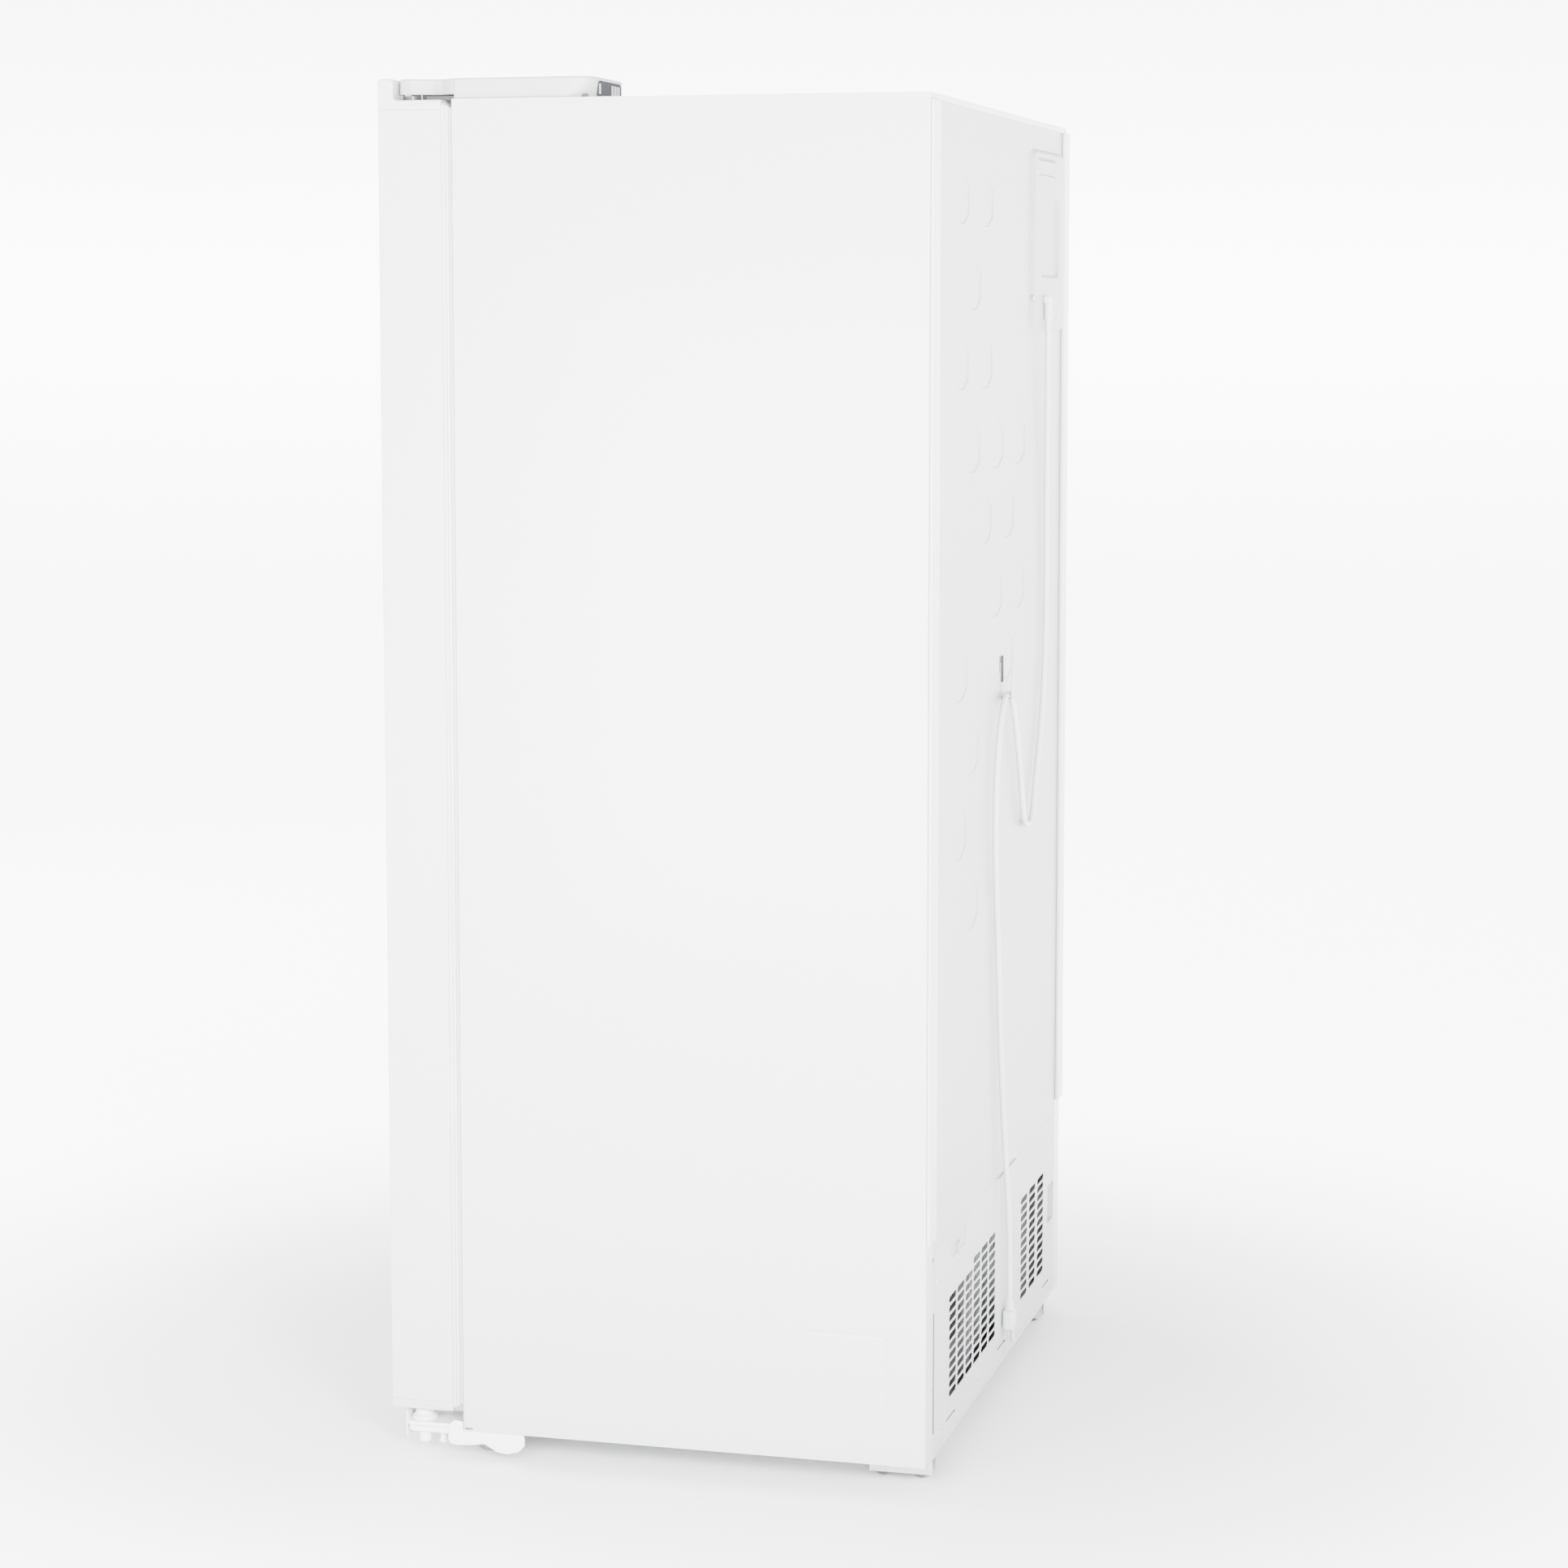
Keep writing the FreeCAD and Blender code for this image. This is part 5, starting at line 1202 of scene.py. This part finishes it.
class FRIDGE_OT_drawers(bpy.types.Operator):
    """Four drawers with rolled rims and a finger lip"""

    bl_idname = "fridge.drawers"
    bl_label = "Drawers"

    def execute(self, context):
        for name, low, high, _ in SPACES:
            for place, z in DRAWERS:
                node = f"{name}_drawer_{place}"
                x = (low + 4, high - 4)
                tray = stack(rectangle(x, (-135, 92), 12), tray_levels(z, z + 126, 3, 8), "z")
                add_piece(f"{node}_box", tray, node, (node,), "clear_plastic")
                lip = rounded([(-136.4, z + 102), (-134.6, z + 102), (-134.6, z + 122), (-131.4, z + 122),
                               (-131.4, z + 127), (-134, z + 127.4), (-136.4, z + 125)],
                              [0.8, 0.6, 0.4, 0.6, 1, 1, 1.5], 3)
                add_piece(f"{node}_trim", stack(lip, edge_levels(x[0] + 40, x[1] - 40, 1, 1), "x"), node, (),
                          "shelf_plastic")
        return {"FINISHED"}


# ---------------------------------------------------------------- mains cord

class FRIDGE_OT_mains_cord(bpy.types.Operator):
    """Mains cord hung over its hook, with its gland and plug"""

    bl_idname = "fridge.mains_cord"
    bl_label = "Mains cord"

    def execute(self, context):
        settings = context.scene.fridge_cord
        curve = bpy.data.curves.new("mains_cord", "CURVE")
        curve.dimensions = "3D"
        spline = curve.splines.new("NURBS")
        spline.points.add(len(CORD_ROUTE) - 1)
        spline.points.foreach_set("co", [value for point in CORD_ROUTE for value in (*point, 1.0)])
        spline.order_u = 3
        spline.use_endpoint_u = True
        spline.resolution_u = 12
        curve.bevel_depth = settings.diameter / 2
        curve.bevel_resolution = 6
        curve.use_fill_caps = True
        curve.materials.append(FINISH["cord_plastic"])
        cord = bpy.data.objects.new("mains_cord", curve)
        bpy.context.scene.collection.objects.link(cord)
        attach(cord, "cabinet")
        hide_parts("power_cord")

        ribs = [(5.5 + 0.35 * (i % 2) - 0.02 * i, 27 - 2.2 * i) for i in range(12)]
        sleeve = turned([(1, 29), (6.2, 29), *ribs, (5.0, 0.5), (4.2, 0), (1, 0)], (-263, 363.5, 1469), "z", 28)
        root = block((-272, -254), (357.6, 369), (1493, 1503), 2.0, "z", 3.0)
        gland = add_piece("cord_exit_sleeve", merge(sleeve, root), "cabinet", ("cord_gland",), "cord_plastic")

        neck_ribs = [(7.0 - 0.16 * i + 0.3 * (i % 2), 112 + 1.2 * i) for i in range(12)]
        neck = turned([(1, 110), (7.4, 110), *neck_ribs, (4.4, 127), (1, 127)], (-25, 364.6, 0), "z", 28)
        head = block((-38, -12), (356.6, 372.6), (87, 113), 3.0, "z", 5.0, 4)
        blades = [block((-25 + x - 3.2, -25 + x + 3.2), (363.8, 365.4), (70, 88), 0.4, "z", 0.6) for x in (-6.35, 6.35)]
        earth = turned([(1, 67), (1.6, 67.2), (2.3, 68.6), (2.3, 88), (1, 88)], (-25, 369.1, 0), "z", 20)
        plug = add_piece("mains_plug_body", merge(neck, head), "cabinet", ("power_plug",), "cord_plastic")
        pins = add_piece("mains_plug_pins", merge(*blades, earth), "cabinet", (), "zinc_steel")

        return {"FINISHED"}


class FRIDGE_OT_cord_hook(bpy.types.Operator):
    """Folded hook that holds the cord"""

    bl_idname = "fridge.cord_hook"
    bl_label = "Cord hook"

    def execute(self, context):
        strip = rounded([(352, 961.4), (369, 961.4), (369, 999.4), (367.8, 999.4), (367.8, 962.6), (353.2, 962.6),
                         (353.2, 1011.4), (352, 1011.4)], [1.8, 2.2, 0.5, 0.5, 1.0, 0.8, 0.4, 0.4], 4)
        add_piece("hook_strip", stack(strip, edge_levels(-8, 8, 0.4, 0.4), "x"), "cabinet", ("cord_hook",),
                  "rear_paint")
        # Dark plate behind the hook strip: painted shade in the gap under the strap.
        add_piece("hook_painted_shade", block((-6, 6), (353.1, 354.4), (984, 1020), 0.4, "y", 3.0), "cabinet", (),
                  "fan_plastic", "shade_plastic")
        return {"FINISHED"}


# ---------------------------------------------------------------- frame pieces and stage

# The machine bay wall takes the dark bay steel: painted shade.
NODE_FINISH = {
    "top_panel": "case_paint", "front_frame": "case_paint", "base_plate": "zinc_steel", "machine_bay_wall": "bay_steel_painted_shade",
    "cabinet_insulation": "foam", "roller_brackets": "zinc_steel",
    "top_hinges": "dark_steel", "freezer_back_duct": "liner_plastic", "fridge_back_duct": "liner_plastic",
    "evaporator": "coil_aluminium", "condenser": "coil_aluminium", "compressor": "compressor_shell",
    "compressor_mounts": "gasket_rubber", "fan_shroud": "pan_plastic", "drain_pan": "pan_plastic",
    "condenser_fan": "fan_plastic", "evaporator_fan": "fan_plastic", "freezer_door_foam": "foam",
    "fridge_door_foam": "foam", "freezer_door_grip": "grip_plastic", "fridge_door_grip": "grip_plastic",
}


class FRIDGE_OT_frame_finishes(bpy.types.Operator):
    """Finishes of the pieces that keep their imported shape"""

    bl_idname = "fridge.frame_finishes"
    bl_label = "Frame finishes"

    def execute(self, context):
        for name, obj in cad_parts.items():
            finish = NODE_FINISH.get(name)
            if finish is None:
                continue
            if not obj.material_slots:
                obj.data.materials.append(FINISH[finish])
            for material_slot in obj.material_slots:
                material_slot.material = FINISH[finish]
        return {"FINISHED"}


def add_lamp(name, place, target, size, power):
    """A soft square light that faces a target."""
    light = bpy.data.lights.new(name, "AREA")
    light.shape, light.size, light.energy = "SQUARE", size, power
    obj = bpy.data.objects.new(name, light)
    obj.location = place
    obj.rotation_mode = "QUATERNION"
    obj.rotation_quaternion = (Vector(target) - Vector(place)).to_track_quat("-Z", "Y")
    bpy.context.scene.collection.objects.link(obj)


class FRIDGE_OT_stage(bpy.types.Operator):
    """Pale floor, soft light and the camera"""

    bl_idname = "fridge.stage"
    bl_label = "Stage"

    def execute(self, context):
        settings = context.scene.fridge_stage
        span = 14.0
        mesh = bpy.data.meshes.new("floor")
        mesh.from_pydata([(-span, -span, 0), (span, -span, 0), (span, span, 0), (-span, span, 0)], [], [(0, 1, 2, 3)])
        graph = Graph("floor_finish")
        away = graph.node("ShaderNodeVectorMath", {0: graph.place}, 1, operation="LENGTH")
        glow = graph.node("ShaderNodeMapRange", {"Value": away, 1: 0.55, 2: 1.9}, interpolation_type="SMOOTHSTEP")
        graph.set(Base_Color=graph.tint((0.90, 0.90, 0.90), (0.93, 0.93, 0.93), graph.noise(2.0)), Roughness=0.7,
                  Emission_Color=graph.tint((0, 0, 0), (1, 1, 1), glow), Emission_Strength=settings.backdrop * 0.5)
        mesh.materials.append(graph.material)
        floor = bpy.data.objects.new("floor", mesh)
        bpy.context.scene.collection.objects.link(floor)

        sky = Graph("studio", world=True)
        rise = sky.node("ShaderNodeSeparateXYZ", {0: sky.place}, 2).math("ABSOLUTE")
        level = (1 - rise).math("POWER", 5.0)
        sky.set(Color=(1, 1, 1, 1), Strength=level * (settings.backdrop - settings.ceiling) + settings.ceiling)
        context.scene.world = sky.material
        add_lamp("side_lamp", (2.2, -0.1, 0.95), (0.456, -0.1, 0.85), 1.1, settings.lamps * 0.8)
        add_lamp("rear_lamp", (3.9, 2.3, 1.9), (0.1, 0.35, 1.0), 0.8, settings.lamps * 3.4)
        add_lamp("front_lamp", (-3.0, -4.2, 2.6), (0, -0.3, 0.9), 2.4, settings.lamps * 2.0)

        data = bpy.data.cameras.new("camera")
        data.sensor_width, data.lens, data.shift_y = 36.0, settings.lens, settings.rise
        camera = bpy.data.objects.new("camera", data)
        camera.location = settings.eye
        a, e = settings.azimuth, settings.pitch
        back = Vector((math.sin(a) * math.cos(e), -math.cos(a) * math.cos(e), math.sin(e)))
        camera.rotation_mode = "QUATERNION"
        camera.rotation_quaternion = (-back).to_track_quat("-Z", "Y")
        context.scene.collection.objects.link(camera)
        context.scene.camera = camera
        return {"FINISHED"}


OPERATORS = (
    FRIDGE_OT_side_panels, FRIDGE_OT_rear_panel, FRIDGE_OT_machine_cover, FRIDGE_OT_control_cover,
    FRIDGE_OT_cover_screws, FRIDGE_OT_hinge_covers, FRIDGE_OT_bottom_hinges, FRIDGE_OT_toe_cover, FRIDGE_OT_feet,
    FRIDGE_OT_doors, FRIDGE_OT_door_linings, FRIDGE_OT_compartments, FRIDGE_OT_shelves, FRIDGE_OT_drawers,
    FRIDGE_OT_mains_cord, FRIDGE_OT_cord_hook, FRIDGE_OT_frame_finishes, FRIDGE_OT_stage,
)
SETTINGS = (CaseSettings, DoorSettings, CordSettings, StageSettings)


class FRIDGE_PT_pieces(bpy.types.Panel):
    """Sidebar list of the pieces"""

    bl_idname = "FRIDGE_PT_pieces"
    bl_label = "Refrigerator"
    bl_space_type = "VIEW_3D"
    bl_region_type = "UI"
    bl_category = "Refrigerator"

    def draw(self, context):
        for operator in OPERATORS:
            self.layout.operator(operator.bl_idname)


def register():
    """Register the settings, the operators and the panel."""
    for item in (*SETTINGS, *OPERATORS, FRIDGE_PT_pieces):
        bpy.utils.register_class(item)
    bpy.types.Scene.fridge_case = bpy.props.PointerProperty(type=CaseSettings)
    bpy.types.Scene.fridge_door = bpy.props.PointerProperty(type=DoorSettings)
    bpy.types.Scene.fridge_cord = bpy.props.PointerProperty(type=CordSettings)
    bpy.types.Scene.fridge_stage = bpy.props.PointerProperty(type=StageSettings)


def unregister():
    """Take everything back out."""
    for name in ("fridge_case", "fridge_door", "fridge_cord", "fridge_stage"):
        delattr(bpy.types.Scene, name)
    for item in reversed((*SETTINGS, *OPERATORS, FRIDGE_PT_pieces)):
        bpy.utils.unregister_class(item)


def main():
    """Build every piece in order."""
    register()
    FINISH.update(make_finishes(bpy.context.scene))
    for operator in OPERATORS:
        group, name = operator.bl_idname.split(".")
        if getattr(getattr(bpy.ops, group), name)() != {"FINISHED"}:
            raise RuntimeError(f"{operator.bl_label} did not finish")
    bpy.context.view_layer.update()


if __name__ == "__main__":
    main()
